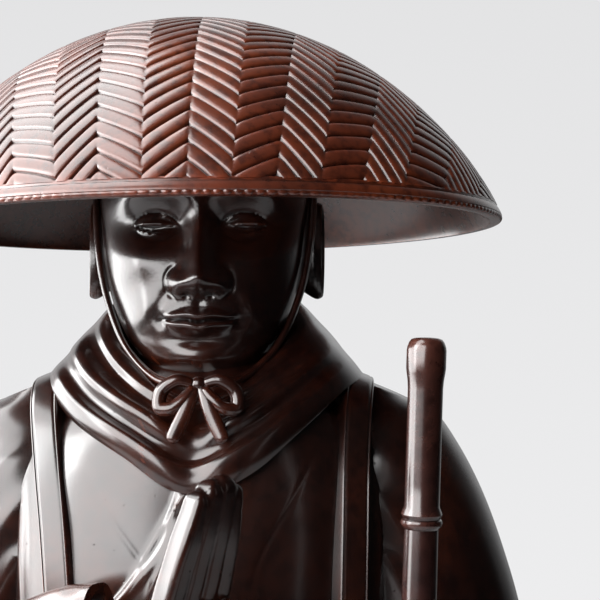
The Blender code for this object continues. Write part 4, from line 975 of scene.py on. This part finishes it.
def make_hat_edge():
    """Fine scalloped edging round the bottom of the rim band."""
    radius = HAT_RADIUS + HAT_BAND_SWELL - EDGING_RADIUS
    turn = np.linspace(0, 2 * math.pi, 13)
    section = [(radius + EDGING_RADIUS * math.cos(t), 0.00062 + EDGING_RADIUS * math.sin(t)) for t in turn]
    weight = np.clip(0.35 + 0.65 * np.cos(turn), 0, 1)
    edge = turned("hat_edging", section, 1500, 204, weight, EDGING_WAVE)
    place_hat(edge)
    return edge


# Staff and plinth

STAFF_KNOTS = (0.13, 0.265, 0.395, 0.525, 0.655, 0.785, 0.898)
KNOT_PROFILE = [  # share of the staff's radius, share of the knot's swell, place along the staff
    (0.995, 0, -0.012), (0.97, 0, -0.0030), (0.965, 0, -0.0018), (1, 0.75, -0.0012), (1, 1, -0.0007),
    (1, 0.8, -0.0002), (1, 0.35, 0), (1, 0.6, 0.0004), (1, 0.9, 0.0008), (1, 0.6, 0.0013), (1, 0, 0.0022),
    (1, 0, 0.0060),
]
STAFF_TIP = [(0.0001, 0.0062), (0, 0.0054), (0, 0.0022), (0.0001, 0.0016), (0.0004, 0.0008),
             (0.0008, 0.0003), (0.0014, 0.0001), (0.0024, 0)]


def stepped(name, stops, sides):
    """Upright body from a round base, its top extruded and resized through (radius, height) stops."""
    deselect()
    radius, height = stops[0]
    bpy.ops.mesh.primitive_circle_add(vertices=sides, radius=radius, fill_type="NGON", location=(0, 0, 0))
    obj = bpy.context.active_object
    obj.name = name
    bpy.ops.object.mode_set(mode="EDIT")
    bpy.ops.mesh.select_mode(type="FACE")
    bpy.ops.mesh.select_all(action="SELECT")
    for next_radius, next_height in stops[1:]:
        grow = next_radius / radius
        bpy.ops.mesh.extrude_region_move(TRANSFORM_OT_translate={"value": (0, 0, next_height - height)})
        bpy.ops.transform.resize(value=(grow, grow, 1), center_override=(0, 0, next_height))
        radius, height = next_radius, next_height
    bpy.ops.mesh.select_all(action="SELECT")
    bpy.ops.mesh.normals_make_consistent(inside=False)
    bpy.ops.object.mode_set(mode="OBJECT")
    return obj


def make_staff():
    """Bamboo staff: ringed joints along its length and a rounded head."""
    foot, top = staff_ends()
    length = (top - foot).length
    r, swell = STAFF_RADIUS, STAFF_KNOT_SWELL
    stops = [(r * 0.8, 0), (r * 0.95, 0.0003), (r, 0.0010)]
    for share in STAFF_KNOTS:
        stops += [(r * part + swell * full, share * length + along) for part, full, along in KNOT_PROFILE]
    stops += [(r, length - 0.0090), (r + 0.0001, length - STAFF_HEAD_LENGTH)]
    stops += [(r + STAFF_HEAD_SWELL - inward, length - down) for inward, down in STAFF_TIP]
    staff = stepped("staff_bamboo", stops, 48)
    staff.data.transform(along_staff(foot))
    return staff


def make_plinth():
    """Low round plinth with one step and rounded edges."""
    inner, high, step = PLINTH_RADIUS - PLINTH_STEP, PLINTH_HEIGHT, PLINTH_STEP_HEIGHT
    stops = [(PLINTH_RADIUS - 0.0006, 0), (PLINTH_RADIUS, 0.0006), (PLINTH_RADIUS, step - 0.0018),
             (PLINTH_RADIUS - 0.0003, step - 0.0011), (PLINTH_RADIUS - 0.0009, step - 0.0004),
             (PLINTH_RADIUS - 0.0018, step), (inner + 0.0006, step), (inner + 0.0002, step + 0.0002),
             (inner, step + 0.0006), (inner, high - 0.0018), (inner - 0.0003, high - 0.0010),
             (inner - 0.0009, high - 0.0003), (inner - 0.0018, high),
             (inner * 0.66, high), (inner * 0.33, high), (inner * 0.05, high)]
    return stepped("plinth_round", stops, 160)


# Finish

PEEL_STRENGTH = 0.012
PIT_STRENGTH = 0.25
SATIN_STRENGTH = 0.25
BRONZES = {  # colour, warm tone, dark tone, roughness of the metal and of its lacquer
    "figure": ((0.017, 0.0040, 0.0022), (0.046, 0.0096, 0.0034), (0.007, 0.0022, 0.0016), 0.40, 0.21),
    "hat": ((0.074, 0.0142, 0.0050), (0.128, 0.028, 0.0090), (0.034, 0.0077, 0.0034), 0.42, 0.26),
    "staff": ((0.036, 0.012, 0.009), (0.058, 0.019, 0.014), (0.02, 0.007, 0.006), 0.40, 0.20),
    "plinth": ((0.035, 0.013, 0.009), (0.05, 0.018, 0.012), (0.02, 0.008, 0.006), 0.46, 0.24),
}
SATIN_ABOVE = {"figure": 0.324}


def add_node(tree, kind, inputs, **settings):
    """Shader node with its settings made and its inputs set to values or linked from other outputs."""
    node = tree.nodes.new("ShaderNode" + kind)
    for name, value in settings.items():
        setattr(node, name, value)
    for name, value in inputs.items():
        if isinstance(value, bpy.types.NodeSocket):
            tree.links.new(value, node.inputs[name])
        else:
            node.inputs[name].default_value = value
    return node


def ranged(tree, source, low, high, to_low=0.0, to_high=1.0, **settings):
    """Output of a node that maps the source from one range to another."""
    inputs = {"Value": source, "From Min": low, "From Max": high, "To Min": to_low, "To Max": to_high}
    return add_node(tree, "MapRange", inputs, **settings).outputs["Result"]


def product(tree, first, second):
    return add_node(tree, "Math", {0: first, 1: second}, operation="MULTIPLY").outputs["Value"]


def lacquered_bronze(node):
    """Cast bronze of a node under a dark red-brown lacquer: clouded, pitted, with painted shade in its
    hollows and a painted highlight on its sharp edges, and satin above its level.
    """
    colour, warm, dark, roughness, coat_roughness = BRONZES[node]
    made = bpy.data.materials.new(f"{node} bronze")
    made.use_nodes = True
    tree = made.node_tree
    shader = tree.nodes["Principled BSDF"]
    shader.inputs["Metallic"].default_value = 0.12
    shader.inputs["Specular IOR Level"].default_value = 0.12
    shader.inputs["Coat Weight"].default_value = 1.0
    shader.inputs["Coat Roughness"].default_value = coat_roughness
    shader.inputs["Coat IOR"].default_value = 1.75
    place = tree.nodes.new("ShaderNodeTexCoord").outputs["Object"]

    def noise(scale, detail, rough=0.55):
        inputs = {"Scale": scale, "Detail": detail, "Roughness": rough, "Vector": place}
        return add_node(tree, "TexNoise", inputs).outputs["Fac"]

    def ramp(source, stops):
        ramp_node = add_node(tree, "ValToRGB", {"Fac": source})
        elements = ramp_node.color_ramp.elements
        for element, (position, tone) in zip(elements, (stops[0], stops[-1])):
            element.position = position
            element.color = (*tone, 1)
        for position, tone in stops[1:-1]:
            elements.new(position).color = (*tone, 1)
        return ramp_node.outputs["Color"]

    def multiplied(first, second):
        inputs = {"Factor": 1.0, "A": first, "B": second}
        return add_node(tree, "Mix", inputs, data_type="RGBA", blend_type="MULTIPLY").outputs["Result"]

    def bumped(height, strength, distance, normal=None):
        inputs = {"Height": height, "Strength": strength, "Distance": distance}
        if normal is not None:
            inputs["Normal"] = normal
        return add_node(tree, "Bump", inputs).outputs["Normal"]

    clouds = ramp(noise(34, 5), [(0.30, dark), (0.50, colour), (0.72, warm)])
    specks = ramp(noise(420, 3, 0.6), [(0.36, (0.55, 0.5, 0.5)), (0.52, (1, 1, 1)), (0.75, (1.15, 1.1, 1.1))])
    # Painted light from the mesh's pointiness: hollows and creases are darkened as painted shade and sharp
    # edges are lightened as a painted highlight.
    painted_light_pointiness = tree.nodes.new("ShaderNodeNewGeometry").outputs["Pointiness"]
    edges = ramp(painted_light_pointiness, [(0.44, (0.35, 0.30, 0.30)), (0.50, (1, 1, 1)), (0.56, (1.9, 1.7, 1.5))])
    tree.links.new(multiplied(multiplied(clouds, specks), edges), shader.inputs["Base Color"])
    rough = ranged(tree, noise(160, 4), 0.3, 0.7, roughness - 0.06, roughness + 0.10)
    tree.links.new(rough, shader.inputs["Roughness"])
    normal = None
    if node in SATIN_ABOVE:
        height = add_node(tree, "SeparateXYZ", {"Vector": place}).outputs["Z"]
        above = ranged(tree, height, SATIN_ABOVE[node], SATIN_ABOVE[node] + 0.006)
        normal = bumped(product(tree, noise(1500, 2), above), SATIN_STRENGTH, 0.0001)
    normal = bumped(noise(330, 2, 0.4), PEEL_STRENGTH, 0.001, normal)
    pits = add_node(tree, "TexVoronoi", {"Scale": 260, "Vector": place}).outputs["Distance"]
    normal = bumped(ranged(tree, pits, 0.0, 0.07), PIT_STRENGTH, 0.0002, normal)
    tree.links.new(normal, shader.inputs["Normal"])
    tree.links.new(normal, shader.inputs["Coat Normal"])
    return made


def floor_paper():
    made = bpy.data.materials.new("pale paper")
    made.use_nodes = True
    tree = made.node_tree
    shader = tree.nodes["Principled BSDF"]
    shader.inputs["Roughness"].default_value = 0.85
    place = tree.nodes.new("ShaderNodeTexCoord").outputs["Object"]
    grain = add_node(tree, "TexNoise", {"Scale": 60, "Vector": place}).outputs["Fac"]
    tone = add_node(tree, "ValToRGB", {"Fac": grain})
    tone.color_ramp.elements[0].color = (0.27, 0.27, 0.275, 1)
    tone.color_ramp.elements[1].color = (0.31, 0.31, 0.315, 1)
    tree.links.new(tone.outputs["Color"], shader.inputs["Base Color"])
    return made


# Camera, light and floor

CAMERA_PLACE = (0.0202, -0.3376, 0.3351)
HALF_VIEW_OVER_DISTANCE = 300 / 1570
FLOOR_RADIUS = 0.60
SOFT_LIGHTS = [  # name, place, aim, width, height, radiance
    ("front left softbox", (-0.75, -0.75, 0.66), (0, 0, 0.36), 1.45, 0.95, 5.8),
    ("left window", (-1.15, 0.16, 0.50), (0, 0, 0.34), 1.60, 1.00, 6.8),
    ("overhead left softbox", (-0.62, 0.03, 1.13), (0, 0, 0.36), 1.25, 1.12, 5.0),
]


def make_camera():
    data = bpy.data.cameras.new("camera")
    camera = bpy.data.objects.new("camera", data)
    bpy.context.scene.collection.objects.link(camera)
    camera.location = CAMERA_PLACE
    camera.rotation_euler = (math.pi / 2, 0, 0)
    data.lens_unit = "FOV"
    data.angle = 2 * math.atan(HALF_VIEW_OVER_DISTANCE)
    data.clip_start = 0.01
    bpy.context.scene.camera = camera


def soft_light(name, place, aim, width, height, radiance):
    """Rectangular soft light at a place, turned to its aim, as bright as a surface of the given radiance."""
    data = bpy.data.lights.new(name, "AREA")
    data.shape = "RECTANGLE"
    data.size = width
    data.size_y = height
    data.energy = math.pi * width * height * radiance
    light = bpy.data.objects.new(name, data)
    bpy.context.scene.collection.objects.link(light)
    light.location = place
    light.rotation_euler = (Vector(aim) - Vector(place)).to_track_quat("-Z", "Y").to_euler()
    light.visible_camera = False


def make_world():
    """Pale surroundings to the eye; in reflections bright behind the figure and dim before it."""
    world = bpy.data.worlds.new("studio")
    bpy.context.scene.world = world
    world.use_nodes = True
    tree = world.node_tree
    backdrop = tree.nodes["Background"]
    way = tree.nodes.new("ShaderNodeTexCoord").outputs["Generated"]
    split = add_node(tree, "SeparateXYZ", {"Vector": way})
    behind = ranged(tree, split.outputs["Y"], 0.45, 0.98, 0.015, 0.70, interpolation_type="SMOOTHSTEP")
    below = ranged(tree, split.outputs["Z"], -0.30, 0.22, 0.10, 1.0)
    fade = ranged(tree, split.outputs["Z"], -0.25, 0.35, 0.86, 0.74)
    seen = tree.nodes.new("ShaderNodeLightPath").outputs["Is Camera Ray"]
    chosen = add_node(tree, "Mix", {"Factor": seen, "A": product(tree, behind, below), "B": fade})
    tree.links.new(chosen.outputs["Result"], backdrop.inputs["Strength"])
    backdrop.inputs["Color"].default_value = (1.0, 1.0, 1.01, 1)


def make_studio():
    make_camera()
    make_world()
    for light in SOFT_LIGHTS:
        soft_light(*light)
    deselect()
    bpy.ops.mesh.primitive_circle_add(vertices=128, radius=FLOOR_RADIUS, fill_type="NGON", location=(0, 0, 0))
    floor = bpy.context.active_object
    floor.name = "floor"
    floor.data.materials.append(floor_paper())
    view = bpy.context.scene.view_settings
    view.view_transform = "Standard"
    view.look = "None"


def settle(obj, node, finish_made, angle=35):
    """Gives a piece its shading and finish, hangs it on the root body and hides the solid that it stands for.
    """
    activate(obj)
    bpy.ops.object.shade_smooth_by_angle(angle=math.radians(angle))
    obj.data.materials.clear()
    obj.data.materials.append(finish_made)
    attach(obj, "root")
    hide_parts(node)


def main():
    figure_bronze, hat_bronze, staff_bronze, plinth_bronze = (lacquered_bronze(node) for node in BRONZES)
    head = joined("figure_head", [make_head(), make_ear(-1), make_ear(1)])
    for obj in (head, make_scarf(), make_dress(), make_raised_hand(), make_fist(), make_cord(), *make_feet()):
        settle(obj, "figure", figure_bronze)
    for obj in (make_hat(), make_hat_edge()):
        settle(obj, "hat", hat_bronze, 28)
    settle(make_staff(), "staff", staff_bronze)
    settle(make_plinth(), "plinth", plinth_bronze)
    make_studio()


main()
